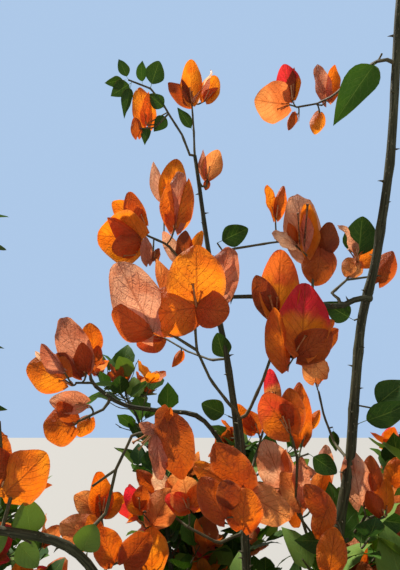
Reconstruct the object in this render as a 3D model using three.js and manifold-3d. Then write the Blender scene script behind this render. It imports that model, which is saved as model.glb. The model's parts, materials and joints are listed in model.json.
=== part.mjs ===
// A bougainvillea bush: a short trunk, arching canes, and sprays of leaves and papery three-bract blooms.
// Millimetres, +Z up, origin in the middle of the flat cut under the trunk, the photographed side towards -Y.
import * as THREE from 'three';
import { mergeVertices } from 'three/addons/utils/BufferGeometryUtils.js';
import Module from 'manifold-3d';

const wasm = await Module();
wasm.setup();

const V = THREE.Vector3;
const up = new V(0, 0, 1);
const front = new V(0, -1, 0);
const seatGap = 0.3;
const nearlyAlong = 0.05;
const steep = 0.8;

// Driving sizes
const trunk = {
  height: 88, footRadius: 16, topRadius: 12.5, leanX: -5, leanY: 4,
  flareRadius: 25, flareHeight: 30, flareRidges: 4, ridgeDepth: 0.1, leanPower: 1.5,
  sides: 12, levels: [0, 0.08, 0.18, 0.34, 0.66, 1],
};
const cane = { sides: 6, armSides: 5, stepLength: 100, fewestSteps: 3, kneeReach: 1.5, kneeShare: 0.05, feelers: 8 };
const arch = { shares: [0.18, 0.4, 0.62, 0.82, 1], outPower: 1.35, risePower: 1.2, firstRise: 45 };
const twig = {
  sides: 3, radius: 1.2, tipRadius: 0.85, squareLength: 2.4, shortest: 0.3, rootInset: 1.6, places: 200,
  stalkRadius: 0.75, longestStalk: 10.8, hubRadius: 1.9, hubDepth: 0.45, hubSpread: 0.5, hubTilt: 45, hubClear: 0.5,
};
const bloom = { open: 36, closed: 29, width: 0.84, thick: 0.9, fold: 0.05, widest: 0.5 };
const leaf = { width: 0.7, thick: 0.9, fold: 0.06, widest: 0.42, length: 62 };
const clearance = { blade: 0.7, twig: 0.3, overlap: 0.0005, rootShare: 0.25 };

// Each cane leaves the trunk's side at a height and a bearing, the trunk's head, or a point along another
// cane. Then it follows the points that it has, or arches out to the bearing, reach and height of its tip.
const canes = {
  cane_middle: {
    foot: { on: 'trunk' }, thick: 5.6, thin: 1.7,
    path: [[-5, -28, 190], [-3, -62, 390], [-6, -93, 588], [-16, -116, 687], [-26, -120, 742],
      [-35, -124, 812], [-45, -129, 890]],
  },
  cane_right: {
    foot: { on: 'trunk', height: 74, bearing: 318 }, thick: 6.2, thin: 1.9,
    path: [[38, -40, 210], [56, -74, 400], [65, -94, 554], [74, -123, 626], [80, -162, 717],
      [87, -190, 761], [86, -239, 826], [84, -272, 881], [78, -318, 928], [66, -366, 946]],
  },
  cane_low_left: {
    foot: { on: 'trunk', height: 60, bearing: 236 }, thick: 5.4, thin: 2,
    path: [[-46, -66, 230], [-80, -122, 420], [-94, -150, 535], [-116, -174, 574], [-151, -195, 588],
      [-205, -216, 596]],
  },
  cane_fork: {
    foot: { on: 'cane_middle', along: 0.42 }, thick: 2.9, thin: 1.7,
    path: [[-3, -98, 500], [-7, -114, 560], [-9, -141, 625], [-12, -152, 648]],
  },
  arm_left: {
    foot: { on: 'cane_middle', along: 0.665 }, thick: 2.2, thin: 1.5,
    path: [[-41, -128, 650], [-70, -137, 654], [-97, -147, 658], [-115, -156, 670]],
  },
  arm_right: {
    foot: { on: 'cane_right', along: 0.7 }, thick: 2.5, thin: 1.6,
    path: [[62, -172, 725], [28, -176, 728], [1, -172, 732], [-20, -165, 734]],
  },
  cane_tall_left: {
    foot: { on: 'trunk', height: 68, bearing: 178 }, thick: 5.8, thin: 2,
    path: [[-80, -4, 180], [-172, -14, 330], [-262, -16, 480], [-318, -6, 630], [-346, 4, 750], [-360, 10, 855]],
  },
  cane_tall_right: {
    foot: { on: 'trunk', height: 66, bearing: 8 }, thick: 5.6, thin: 2,
    path: [[68, 10, 180], [136, 28, 330], [206, 42, 480], [264, 46, 610], [310, 44, 730], [336, 50, 832]],
  },
  cane_back_left: {
    foot: { on: 'trunk', height: 72, bearing: 122 }, thick: 5.4, thin: 2,
    arch: { bearing: 122, reach: 275, height: 668, sway: 12 },
  },
  cane_back: {
    foot: { on: 'trunk', height: 56, bearing: 88 }, thick: 5, thin: 2,
    arch: { bearing: 80, reach: 285, height: 560, sway: -12 },
  },
  cane_back_right: {
    foot: { on: 'trunk', height: 70, bearing: 48 }, thick: 5, thin: 2,
    arch: { bearing: 40, reach: 290, height: 530, sway: 10 },
  },
  cane_low_back_left: {
    foot: { on: 'trunk', height: 46, bearing: 150 }, thick: 4.6, thin: 1.9,
    arch: { bearing: 152, reach: 325, height: 455, sway: -10 },
  },
  cane_low_side_left: {
    foot: { on: 'trunk', height: 48, bearing: 208 }, thick: 4.6, thin: 1.9,
    arch: { bearing: 208, reach: 335, height: 440, sway: -10 },
  },
  cane_low_side_right: {
    foot: { on: 'trunk', height: 46, bearing: 340 }, thick: 4.6, thin: 1.9,
    arch: { bearing: 338, reach: 325, height: 450, sway: 12 },
  },
  cane_low_front: {
    foot: { on: 'trunk', height: 38, bearing: 266 }, thick: 4.8, thin: 1.9,
    arch: { bearing: 262, reach: 320, height: 420, sway: -12 },
  },
  cane_low_front_right: {
    foot: { on: 'trunk', height: 56, bearing: 294 }, thick: 4.6, thin: 1.9,
    arch: { bearing: 302, reach: 330, height: 430, sway: 8 },
  },
};

// The sprays that show one by one from the front. Twigs are runs of points, the first from the cane.
// A bloom is the place of its seat, the tip of the bract that shows best and that bract's turn,
// 0 with its inside to the front and 180 with its back. A leaf is its base, its tip and its turn from level.
const frontSprays = {
  spray_top_left: {
    on: 'cane_middle',
    twigs: [[[-58, -131, 914], [-70, -134, 934], [-78, -136, 949], [-90, -140, 963], [-112, -143, 971]]],
    blooms: [[-93, -130, 926, -100, -147, 955, 180, 24], [-100, -131, 921, -110, -141, 916, 160, 34]],
    leaves: [[-112, -143, 971, -121, -151, 990, 70], [-114, -143, 971, -135, -143, 967, 60],
      [-108, -142, 969, -128, -142, 950, 60], [-109, -142, 968, -115, -136, 928, 80],
      [-98, -141, 966, -97, -149, 986, 80], [-90, -140, 963, -80, -153, 987, 75],
      [-92, -130, 928, -94, -126, 907, 80], [-72, -134, 936, -85, -134, 918, 60],
      [-74, -135, 941, -87, -146, 949, 60]],
  },
  spray_top_middle: {
    on: 'cane_middle', atTip: true,
    twigs: [[[-46, -135, 914], [-48, -142, 941]]],
    blooms: [[-48, -142, 941, -50, -160, 979, 0, 30], [-35, -142, 945, -25, -164, 952, 20, 34]],
    leaves: [[-46, -135, 913, -61, -147, 934, 60]],
  },
  spray_high: {
    on: 'cane_middle',
    twigs: [[[-34, -122, 858], [-33, -124, 866]]],
    blooms: [[-33, -124, 867, -24, -141, 890, 10, 34]],
    leaves: [],
  },
  spray_upper_left: {
    on: 'cane_middle',
    twigs: [[[-35, -127, 766], [-42, -131, 768], [-54, -155, 767], [-66, -160, 780], [-83, -172, 783]]],
    blooms: [[-54, -156, 768, -52, -183, 784, 0, 38], [-60, -167, 791, -55, -186, 828, 180, 24],
      [-72, -133, 836, -61, -152, 868, 0, 34], [-82, -172, 788, -98, -198, 804, 20, 36],
      [-87, -169, 768, -104, -188, 744, 20, 36], [-75, -174, 762, -81, -187, 774, 90, 28]],
    leaves: [],
  },
  spray_far_right: {
    on: 'cane_middle',
    twigs: [[[-27, -121, 782], [-14, -136, 787], [21, -141, 791], [38, -139, 794]]],
    blooms: [[24, -150, 810, 20, -176, 826, 180, 26]],
    leaves: [[-22, -130, 785, 0, -151, 800, 40]],
  },
  spray_front: {
    on: 'cane_fork', atTip: true,
    twigs: [[[-20, -165, 657], [-33, -183, 671], [-42, -202, 687], [-43, -214, 699]],
      [[-42, -202, 687], [-56, -212, 694], [-68, -222, 699]]],
    blooms: [[-42, -222, 709, -42, -244, 739, 180, 58], [-32, -204, 717, -24, -216, 752, 180, 30],
      [-70, -225, 701, -88, -246, 727, 180, 44], [-58, -206, 712, -68, -226, 741, 0, 30]],
    leaves: [],
  },
  spray_front_right: {
    on: 'cane_fork',
    twigs: [[[-4, -150, 655], [5, -158, 674], [8, -184, 688], [17, -206, 682]],
      [[8, -184, 688], [7, -196, 707]]],
    blooms: [[18, -211, 684, 20, -234, 718, 0, 36], [8, -204, 709, 12, -222, 748, 180, 22],
      [26, -196, 690, 40, -212, 704, 180, 30]],
    leaves: [],
  },
  spray_right: {
    on: 'arm_right',
    twigs: [[[41, -182, 740], [40, -185, 757]]],
    blooms: [[39, -186, 757, 30, -209, 792, 0, 30], [28, -192, 764, 10, -203, 775, 0, 34],
      [51, -190, 759, 55, -215, 771, 180, 34]],
    leaves: [],
  },
  spray_right_edge: {
    on: 'arm_right',
    twigs: [[[60, -162, 738], [78, -149, 754], [88, -151, 768]], [[78, -149, 754], [102, -147, 758]]],
    blooms: [[88, -152, 769, 72, -170, 791, 30, 38], [103, -147, 758, 116, -167, 768, 180, 34]],
    leaves: [[88, -151, 768, 87, -181, 794, 10]],
  },
  spray_top_right: {
    on: 'cane_right',
    twigs: [[[75, -254, 867], [72, -222, 884], [69, -192, 900], [62, -175, 909], [46, -169, 911]]],
    blooms: [[39, -171, 912, 11, -187, 902, 20, 34], [42, -172, 916, 32, -188, 941, 180, 28],
      [73, -170, 917, 68, -189, 941, 10, 34], [66, -169, 905, 60, -168, 881, 180, 30],
      [48, -167, 905, 46, -172, 886, 180, 24]],
    leaves: [[76, -254, 867, 40, -253, 814, 70]],
  },
  spray_far_middle: {
    on: 'cane_middle',
    twigs: [[[-30, -98, 698], [-52, -76, 710], [-76, -58, 727]]],
    blooms: [[-77, -58, 728, -85, -81, 712, 0, 40], [-58, -66, 712, -64, -74, 697, 180, 26]],
    leaves: [],
  },
  spray_left: {
    on: 'arm_left', atTip: true,
    twigs: [[[-118, -160, 676], [-118, -168, 684]], [[-116, -158, 672], [-123, -176, 670]]],
    blooms: [[-118, -172, 677, -125, -196, 710, 180, 34], [-117, -164, 688, -113, -189, 710, 20, 30],
      [-124, -180, 668, -142, -204, 677, 0, 36]],
    leaves: [],
  },
  spray_left_low: {
    on: 'arm_left',
    twigs: [[[-108, -150, 655], [-125, -156, 646]]],
    blooms: [[-117, -158, 656, -127, -180, 664, 0, 34], [-127, -156, 644, -135, -188, 648, 0, 36],
      [-118, -152, 648, -112, -168, 633, 180, 30]],
    leaves: [],
  },
  spray_lower_left: {
    on: 'cane_low_left',
    twigs: [[[-101, -155, 590], [-95, -163, 616], [-84, -170, 638], [-74, -170, 639]]],
    blooms: [[-72, -170, 638, -44, -176, 620, 180, 40], [-63, -170, 640, -59, -176, 655, 90, 20]],
    leaves: [],
  },
  spray_left_edge: {
    on: 'cane_low_left',
    twigs: [[[-148, -193, 606], [-153, -200, 620], [-155, -208, 645]]],
    blooms: [[-153, -196, 610, -128, -212, 630, 180, 42], [-156, -200, 618, -172, -222, 638, 0, 36]],
    leaves: [[-147, -190, 599, -128, -206, 607, 60], [-148, -192, 602, -112, -190, 588, 50]],
  },
  spray_low_left: {
    on: 'cane_low_left',
    twigs: [[[-104, -128, 552], [-112, -104, 566], [-119, -86, 576]], [[-104, -128, 552], [-106, -131, 566]]],
    blooms: [[-120, -82, 578, -123, -107, 611, 180, 34], [-107, -132, 569, -129, -156, 586, 0, 38],
      [-96, -132, 556, -95, -158, 582, 180, 34]],
    leaves: [],
  },
  spray_low_middle: {
    on: 'cane_middle',
    twigs: [[[-26, -100, 560], [-50, -104, 572], [-66, -90, 580], [-84, -100, 581]]],
    blooms: [[-86, -104, 583, -95, -120, 602, 180, 34], [-66, -82, 588, -84, -101, 610, 0, 34],
      [-48, -128, 588, -53, -152, 614, 10, 36], [-78, -96, 540, -79, -119, 571, 180, 34]],
    leaves: [],
  },
  spray_centre: {
    on: 'cane_right',
    twigs: [[[42, -104, 560], [30, -122, 592], [28, -146, 622], [22, -160, 636]]],
    blooms: [[20, -164, 639, 5, -188, 664, 0, 40], [38, -126, 634, 33, -148, 670, 180, 34],
      [33, -124, 589, 33, -145, 623, 0, 34]],
    leaves: [],
  },
  spray_centre_left: {
    on: 'cane_middle',
    twigs: [[[2, -92, 610], [10, -84, 628], [16, -98, 650]]],
    blooms: [[11, -77, 638, 0, -98, 662, 4, 34], [21, -108, 661, 14, -127, 687, 170, 33]],
    leaves: [],
  },
  spray_low_centre: {
    on: 'cane_fork',
    twigs: [[[-4, -134, 585], [-12, -162, 590]]],
    blooms: [[-8, -152, 600, -33, -172, 630, 0, 36], [-15, -178, 592, -27, -201, 616, 0, 34]],
    leaves: [],
  },
  spray_centre_right: {
    on: 'cane_right',
    twigs: [[[72, -92, 630], [66, -90, 652], [63, -92, 672]]],
    blooms: [[62, -92, 676, 52, -112, 704, 0, 34]],
    leaves: [[74, -94, 634, 108, -104, 660, 20], [70, -91, 643, 100, -76, 676, 30]],
  },
  spray_low_right: {
    on: 'cane_right',
    twigs: [[[80, -86, 562], [100, -72, 572], [118, -62, 574]], [[80, -86, 562], [84, -110, 580]]],
    blooms: [[84, -108, 586, 86, -133, 624, 0, 34], [98, -112, 580, 102, -138, 612, 0, 34],
      [122, -59, 575, 120, -82, 606, 180, 34]],
    leaves: [[100, -74, 572, 134, -90, 584, 20]],
  },
  spray_low_front: {
    on: 'cane_right',
    twigs: [[[58, -112, 556], [53, -132, 563], [50, -144, 570]]],
    blooms: [[50, -150, 584, 48, -160, 562, 180, 36], [44, -152, 556, 38, -176, 582, 0, 34]],
    leaves: [[48, -134, 569, 24, -150, 560, 20]],
  },
  spray_low_back: {
    on: 'cane_right',
    twigs: [[[58, -76, 552], [42, -68, 574]]],
    blooms: [[56, -66, 579, 58, -86, 612, 180, 36], [31, -74, 594, 15, -98, 628, 180, 34]],
    leaves: [],
  },
};

// The rest of the foliage grows by one rule: where it leaves its cane, its bearing, rise and reach.
const ruleSprays = {
  foliage_tall_left_tip: { on: 'cane_tall_left', along: 1, bearing: 170, rise: 48, reach: 120, blooms: 3 },
  foliage_tall_left_side: { on: 'cane_tall_left', along: 0.8, bearing: 230, rise: 25, reach: 115, blooms: 2 },
  foliage_tall_left_foot: { on: 'cane_tall_left', along: 0.56, bearing: 140, rise: 15, reach: 130, blooms: 1 },
  foliage_tall_right_tip: { on: 'cane_tall_right', along: 1, bearing: 20, rise: 50, reach: 120, blooms: 3 },
  foliage_tall_right_side: { on: 'cane_tall_right', along: 0.79, bearing: 300, rise: 22, reach: 110, blooms: 2 },
  foliage_tall_right_foot: { on: 'cane_tall_right', along: 0.55, bearing: 55, rise: 15, reach: 130, blooms: 1 },
  foliage_back_left_tip: { on: 'cane_back_left', along: 1, bearing: 120, rise: 20, reach: 110, blooms: 3 },
  foliage_back_left_side: { on: 'cane_back_left', along: 0.68, bearing: 70, rise: 20, reach: 130, blooms: 2 },
  foliage_back_tip: { on: 'cane_back', along: 1, bearing: 85, rise: 10, reach: 115, blooms: 3 },
  foliage_back_side: { on: 'cane_back', along: 0.66, bearing: 130, rise: 20, reach: 125, blooms: 1 },
  foliage_back_right_tip: { on: 'cane_back_right', along: 1, bearing: 35, rise: 12, reach: 115, blooms: 3 },
  foliage_low_back_left: { on: 'cane_low_back_left', along: 1, bearing: 160, rise: 12, reach: 120, blooms: 3 },
  foliage_low_side_left: { on: 'cane_low_side_left', along: 1, bearing: 200, rise: 10, reach: 120, blooms: 3 },
  foliage_low_side_right: { on: 'cane_low_side_right', along: 1, bearing: 345, rise: 10, reach: 120, blooms: 3 },
  foliage_low_front: { on: 'cane_low_front', along: 1, bearing: 255, rise: 8, reach: 110, blooms: 3 },
  foliage_low_front_right: { on: 'cane_low_front_right', along: 1, bearing: 305, rise: 8, reach: 115, blooms: 3 },
  foliage_right_foot: { on: 'cane_right', along: 0.4, bearing: 10, rise: 20, reach: 130, blooms: 2 },
  foliage_middle_foot: { on: 'cane_middle', along: 0.36, bearing: 282, rise: 12, reach: 115, blooms: 2 },
  foliage_left_foot: { on: 'cane_low_left', along: 0.5, bearing: 190, rise: 25, reach: 130, blooms: 2 },
};
const rule = {
  nodes: 4, turn: 137.5, wander: 0.32, sideLength: 0.5, sideForward: 0.8, sideRise: 0.5,
  stemLeafAt: 0.4, stemLeafForward: 0.4, sideLeafAt: 0.55, sideLeafForward: 0.5, endLeafAt: 0.1, endLeafSide: 0.4,
  leafTurn: 50, leafDroop: 0.25, bloomSize: 40, bloomOpen: 0.5, bloomRise: 0.5, stalk: 9,
};
// How far lengths vary: the least share, and the spread above it
const spread = { side: [0.75, 0.5], leaf: [0.78, 0.4], bloom: [0.85, 0.3] };

// A repeatable stream of numbers between 0 and 1, one for each spray
function makeDice(seed) {
  let state = 7919 * (seed + 1);
  return () => {
    state = (state * 16807) % 2147483647;
    return state / 2147483647;
  };
}

function heading(bearing, rise) {
  const round = THREE.MathUtils.degToRad(bearing);
  const lift = THREE.MathUtils.degToRad(rise);
  return new V(Math.cos(round) * Math.cos(lift), Math.sin(round) * Math.cos(lift), Math.sin(lift));
}

function across(direction, towards) {
  const side = towards.clone().addScaledVector(direction, -towards.dot(direction));
  if (side.length() < nearlyAlong) side.set(1, 0, 0).addScaledVector(direction, -direction.x);
  return side.normalize();
}

// A closed tapering tube through the points, with flat ends
function tube(points, radii, sides, corner = null, startAim = null) {
  const last = points.length - 1;
  const vertices = [];
  const faces = [];
  let side = corner;
  points.forEach((point, i) => {
    const run = points[Math.min(i + 1, last)].clone().sub(points[Math.max(i - 1, 0)]).normalize();
    const along = i === 0 && startAim ? startAim : run;
    side = across(along, side ?? (Math.abs(along.z) > steep ? front : up));
    const other = along.clone().cross(side);
    for (let k = 0; k < sides; k++) {
      const angle = (2 * Math.PI * k) / sides;
      vertices.push(point.clone()
        .addScaledVector(side, radii[i] * Math.cos(angle))
        .addScaledVector(other, radii[i] * Math.sin(angle)));
    }
  });
  for (let i = 0; i < last; i++) {
    for (let k = 0; k < sides; k++) {
      const a = i * sides + k;
      const b = i * sides + ((k + 1) % sides);
      faces.push([a, b, b + sides], [a, b + sides, a + sides]);
    }
  }
  for (let k = 1; k < sides - 1; k++) {
    faces.push([0, k + 1, k], [last * sides, last * sides + k, last * sides + k + 1]);
  }
  return closedGeometry(vertices, faces);
}

// A thin blade folded along its midrib: base, widest points, tip, and a ridge that gives it thickness
function blade(base, tip, facing, shape, grow = 0) {
  const along = tip.clone().sub(base);
  const length = along.length();
  along.normalize();
  const normal = across(along, facing);
  const right = along.clone().cross(normal);
  const middle = base.clone().addScaledVector(along, length * shape.widest).addScaledVector(normal, -grow / 2);
  const halfWidth = (length * shape.width + grow) / 2;
  const lifted = middle.clone().addScaledVector(normal, length * shape.fold);
  const vertices = [
    base.clone(),
    lifted.clone().addScaledVector(right, halfWidth),
    tip.clone().addScaledVector(along, grow / 2),
    lifted.clone().addScaledVector(right, -halfWidth),
    middle.clone().addScaledVector(normal, shape.thick + grow),
  ];
  return closedGeometry(vertices, [[0, 1, 4], [1, 2, 4], [2, 3, 4], [3, 0, 4], [0, 2, 1], [0, 3, 2]]);
}

function closedGeometry(vertices, faces) {
  const geometry = new THREE.BufferGeometry();
  geometry.setAttribute('position', new THREE.Float32BufferAttribute(vertices.flatMap((v) => v.toArray()), 3));
  geometry.setIndex(faces.flat());
  return geometry;
}

function solidOf(geometry) {
  const bare = geometry.clone();
  bare.deleteAttribute('normal');
  bare.deleteAttribute('uv');
  const merged = mergeVertices(bare);
  return new wasm.Manifold(new wasm.Mesh({
    numProp: 3,
    vertProperties: new Float32Array(merged.attributes.position.array),
    triVerts: new Uint32Array(merged.index.array),
  }));
}

function geometryOf(solid) {
  const mesh = solid.getMesh();
  const geometry = new THREE.BufferGeometry();
  geometry.setAttribute('position', new THREE.Float32BufferAttribute(mesh.vertProperties, 3));
  geometry.setIndex(Array.from(mesh.triVerts));
  return geometry;
}

// The trunk leans a little more towards its head
function trunkCentre(height) {
  const share = Math.max(0, height / trunk.height) ** trunk.leanPower;
  return new V(trunk.leanX * share, trunk.leanY * share, height);
}

function trunkRadius(height) {
  const taper = THREE.MathUtils.lerp(trunk.footRadius, trunk.topRadius, height / trunk.height);
  const flare = Math.max(0, 1 - height / trunk.flareHeight) ** 2;
  return taper + (trunk.flareRadius - trunk.footRadius) * flare;
}

function trunkGeometry() {
  const profile = trunk.levels.map((level) => new THREE.Vector2(trunkRadius(level * trunk.height), level * trunk.height));
  profile.unshift(new THREE.Vector2(0, 0));
  profile.push(new THREE.Vector2(0, trunk.height));
  const geometry = new THREE.LatheGeometry(profile, trunk.sides).rotateX(Math.PI / 2);
  const place = geometry.attributes.position;
  for (let i = 0; i < place.count; i++) {
    const point = new V().fromBufferAttribute(place, i);
    const height = point.z;
    const flare = Math.max(0, 1 - height / trunk.flareHeight);
    const ridge = 1 + trunk.ridgeDepth * flare * Math.cos(trunk.flareRidges * Math.atan2(point.y, point.x));
    const centre = trunkCentre(height);
    place.setXYZ(i, point.x * ridge + centre.x, point.y * ridge + centre.y, height);
  }
  return geometry;
}

// Where a cane or twig starts: clear of what carries it, and square to it
function startOn(limb, along, towards) {
  const at = limb.pointAt(along);
  const square = across(at.tangent, towards);
  return { point: at.point.clone().addScaledVector(square, at.radius + seatGap), square };
}

function footOf(foot, towards, thick) {
  if (foot.on !== 'trunk') {
    const limb = limbs[foot.on];
    return startOn(limb, foot.along, towards.clone().sub(limb.pointAt(foot.along).point));
  }
  if (foot.height === undefined) {
    return { point: trunkCentre(trunk.height).addScaledVector(up, seatGap), square: up.clone() };
  }
  const square = heading(foot.bearing, 0);
  const centre = trunkCentre(foot.height);
  return { point: centre.clone().addScaledVector(square, trunkReach(centre, square, thick) + seatGap), square };
}

// How far the trunk's surface reaches out over the width and height of a cane's flat end
function trunkReach(centre, square, thick) {
  const side = square.clone().cross(up);
  const inward = square.clone().negate();
  const outside = 2 * trunk.flareRadius;
  let reach = 0;
  for (let k = -cane.feelers; k <= cane.feelers; k++) {
    for (const lift of [-thick, 0, thick]) {
      const from = centre.clone().addScaledVector(square, outside)
        .addScaledVector(side, (k / cane.feelers) * thick).addScaledVector(up, lift);
      const [hit] = new THREE.Raycaster(from, inward).intersectObject(trunkMesh);
      if (hit) reach = Math.max(reach, outside - hit.distance);
    }
  }
  return reach;
}

function archPath(start, spec) {
  const away = heading(spec.bearing, 0);
  const aside = heading(spec.bearing + 90, 0);
  return arch.shares.map((share) => {
    const out = THREE.MathUtils.lerp(start.dot(away), spec.reach, share ** arch.outPower);
    const rise = THREE.MathUtils.lerp(start.z, spec.height, 1 - (1 - share) ** arch.risePower);
    return away.clone().multiplyScalar(out)
      .addScaledVector(aside, spec.sway * Math.sin(2 * Math.PI * share))
      .setZ(rise);
  });
}

function makeLimb(spec) {
  const firstAim = spec.path ? new V(...spec.path[0]) : heading(spec.arch.bearing, arch.firstRise);
  const { point, square } = footOf(spec.foot, firstAim, spec.thick);
  const knee = point.clone().addScaledVector(square, spec.thick * cane.kneeReach);
  const path = spec.path ? spec.path.map((p) => new V(...p)) : archPath(knee, spec.arch);
  const curve = new THREE.CatmullRomCurve3([point, knee, ...path], false, 'centripetal');
  const steps = Math.max(cane.fewestSteps, Math.round(curve.getLength() / cane.stepLength));
  const points = [point, knee];
  for (let i = 1; i <= steps; i++) {
    points.push(curve.getPointAt(THREE.MathUtils.lerp(cane.kneeShare, 1, i / steps)));
  }
  const radii = points.map((p, i) => THREE.MathUtils.lerp(spec.thick, spec.thin, i / (points.length - 1)));
  return { points, radii, pointAt: (along) => pointAlong(points, radii, along) };
}

function pointAlong(points, radii, along) {
  const lengths = points.map((p, i) => (i ? p.distanceTo(points[i - 1]) : 0));
  let rest = along * lengths.reduce((sum, length) => sum + length, 0);
  let i = 1;
  while (i < points.length - 1 && rest > lengths[i]) rest -= lengths[i++];
  const share = Math.min(1, rest / lengths[i]);
  return {
    point: points[i - 1].clone().lerp(points[i], share),
    tangent: points[i].clone().sub(points[i - 1]).normalize(),
    radius: THREE.MathUtils.lerp(radii[i - 1], radii[i], share),
  };
}

// The place for a root on the nearest twig, a little inside the twig's two ends
function rootOn(runs, place) {
  let best = null;
  for (const run of runs) {
    for (let i = 1; i < run.length; i++) {
      const length = run[i - 1].distanceTo(run[i]);
      const inset = Math.min(twig.rootInset / length, 0.4);
      const line = new THREE.Line3(run[i - 1], run[i]);
      const share = THREE.MathUtils.clamp(line.closestPointToPointParameter(place, true),
        i === 1 ? inset : 0, i === run.length - 1 ? 1 - inset : 1);
      const spot = line.at(share, new V());
      const distance = spot.distanceTo(place);
      if (!best || distance < best.distance) best = { spot, distance };
    }
  }
  return best.spot;
}

// A spray is put in order as runs of twigs, blooms and leaves
function frontSpray(spec) {
  const limb = limbs[spec.on];
  const runs = spec.twigs.map((run) => run.map((p) => new V(...p)));
  runs[0].unshift(...(spec.atTip ? tipStart(limb) : sideStart(limb, runs[0][0])));
  const blooms = spec.blooms.map(([x, y, z, tipX, tipY, tipZ, turn, open]) => (
    { seat: new V(x, y, z), tip: new V(tipX, tipY, tipZ), turn, open }));
  const leaves = spec.leaves.map(([x, y, z, tipX, tipY, tipZ, turn]) => (
    { base: new V(x, y, z), tip: new V(tipX, tipY, tipZ), turn }));
  for (const run of runs) run.push(shortOf(blooms, run.pop(), run[run.length - 1]));
  return { runs, blooms, leaves };
}

// A twig that ends at a bloom stops a stalk's length before it
function shortOf(blooms, end, before) {
  const near = blooms.some((flower) => flower.seat.distanceTo(end) < rule.stalk);
  const length = end.distanceTo(before);
  return near ? before.clone().lerp(end, Math.max(twig.shortest, 1 - rule.stalk / length)) : end;
}

function tipStart(limb) {
  const { point, tangent } = limb.pointAt(1);
  const start = point.addScaledVector(tangent, seatGap);
  return [start, start.clone().addScaledVector(tangent, twig.squareLength)];
}

function sideStart(limb, towards) {
  let along = 0;
  let nearest = Infinity;
  for (let share = 0; share <= 1; share += 1 / twig.places) {
    const distance = limb.pointAt(share).point.distanceTo(towards);
    if (distance < nearest) [nearest, along] = [distance, share];
  }
  return squareStart(limb, along, towards.clone().sub(limb.pointAt(along).point));
}

function squareStart(limb, along, towards) {
  const { point, square } = startOn(limb, along, towards);
  return [point, point.clone().addScaledVector(square, twig.squareLength)];
}

function ruleSpray(spec, seed) {
  const dice = makeDice(seed);
  const limb = limbs[spec.on];
  const aim = heading(spec.bearing, spec.rise);
  const stem = spec.along === 1 ? tipStart(limb) : squareStart(limb, spec.along, aim);
  const runs = [stem];
  const blooms = [];
  const leaves = [];
  const step = spec.reach / rule.nodes;
  let bearing = 360 * dice();
  for (let node = 1; node <= rule.nodes; node++) {
    aim.add(new V(dice() - 0.5, dice() - 0.5, dice() - 0.5).multiplyScalar(rule.wander)).normalize();
    const place = stem[stem.length - 1].clone().addScaledVector(aim, step);
    stem.push(place);
    bearing += rule.turn;
    const side = across(aim, heading(bearing, 0));
    if (node === rule.nodes) {
      addBloom(blooms, place, aim, dice);
      continue;
    }
    const below = place.clone().addScaledVector(aim, -rule.stemLeafAt * step);
    if (node > 1) addLeaf(leaves, below, side.clone().negate().addScaledVector(aim, rule.stemLeafForward), dice);
    const branchAim = side.clone().addScaledVector(aim, rule.sideForward)
      .addScaledVector(up, rule.sideRise).normalize();
    const end = place.clone().addScaledVector(branchAim, spec.reach * rule.sideLength * vary(spread.side, dice));
    runs.push([place.clone(), end]);
    const flat = across(branchAim, side.clone().cross(aim));
    const hand = node % 2 ? 1 : -1;
    addLeaf(leaves, place.clone().lerp(end, rule.sideLeafAt),
      flat.multiplyScalar(hand).addScaledVector(branchAim, rule.sideLeafForward), dice);
    if (node > rule.nodes - spec.blooms) addBloom(blooms, end, branchAim, dice);
    else addLeaf(leaves, end.clone().lerp(place, rule.endLeafAt),
      branchAim.clone().addScaledVector(flat, -rule.endLeafSide), dice);
  }
  return { runs, blooms, leaves };
}

function vary([least, more], dice) {
  return least + more * dice();
}

function addLeaf(leaves, base, aim, dice) {
  const length = leaf.length * vary(spread.leaf, dice);
  const droop = aim.clone().normalize().addScaledVector(up, rule.leafDroop * (1 - 2 * dice())).normalize();
  leaves.push({
    base: base.clone(), tip: base.clone().addScaledVector(droop, length), turn: rule.leafTurn * (dice() - 0.5),
  });
}

function addBloom(blooms, seat, aim, dice) {
  const size = rule.bloomSize * vary(spread.bloom, dice);
  const lean = aim.clone().normalize().addScaledVector(up, rule.bloomRise).normalize();
  const main = across(lean, heading(360 * dice(), 0)).multiplyScalar(Math.tan(rule.bloomOpen)).add(lean).normalize();
  const start = seat.clone().addScaledVector(lean, rule.stalk);
  blooms.push({ seat: start, tip: start.clone().addScaledVector(main, size), turn: 360 * dice(), open: bloom.open });
}

// Three bracts stand round the bloom's axis, the first where its tip is given. One that is closed shows as one.
function flowerOf({ seat, tip, turn, open }) {
  const main = tip.clone().sub(seat);
  const size = main.length();
  main.normalize();
  const facing = across(main, front).applyAxisAngle(main, THREE.MathUtils.degToRad(turn));
  const lean = THREE.MathUtils.degToRad(open);
  const axis = main.clone().multiplyScalar(Math.cos(lean)).addScaledVector(facing, Math.sin(lean));
  const bracts = (open < bloom.closed ? [0] : [0, 1, 2]).map((k) => {
    const aim = main.clone().applyAxisAngle(axis, (2 * Math.PI * k) / 3);
    return {
      aim,
      tip: seat.clone().addScaledVector(aim, size),
      facing: facing.clone().applyAxisAngle(axis, (2 * Math.PI * k) / 3),
    };
  });
  const slimmer = Math.min(1, Math.sin(lean) / Math.sin(THREE.MathUtils.degToRad(bloom.open)));
  return { seat, axis, bracts, shape: { ...bloom, width: bloom.width * slimmer } };
}

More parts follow.
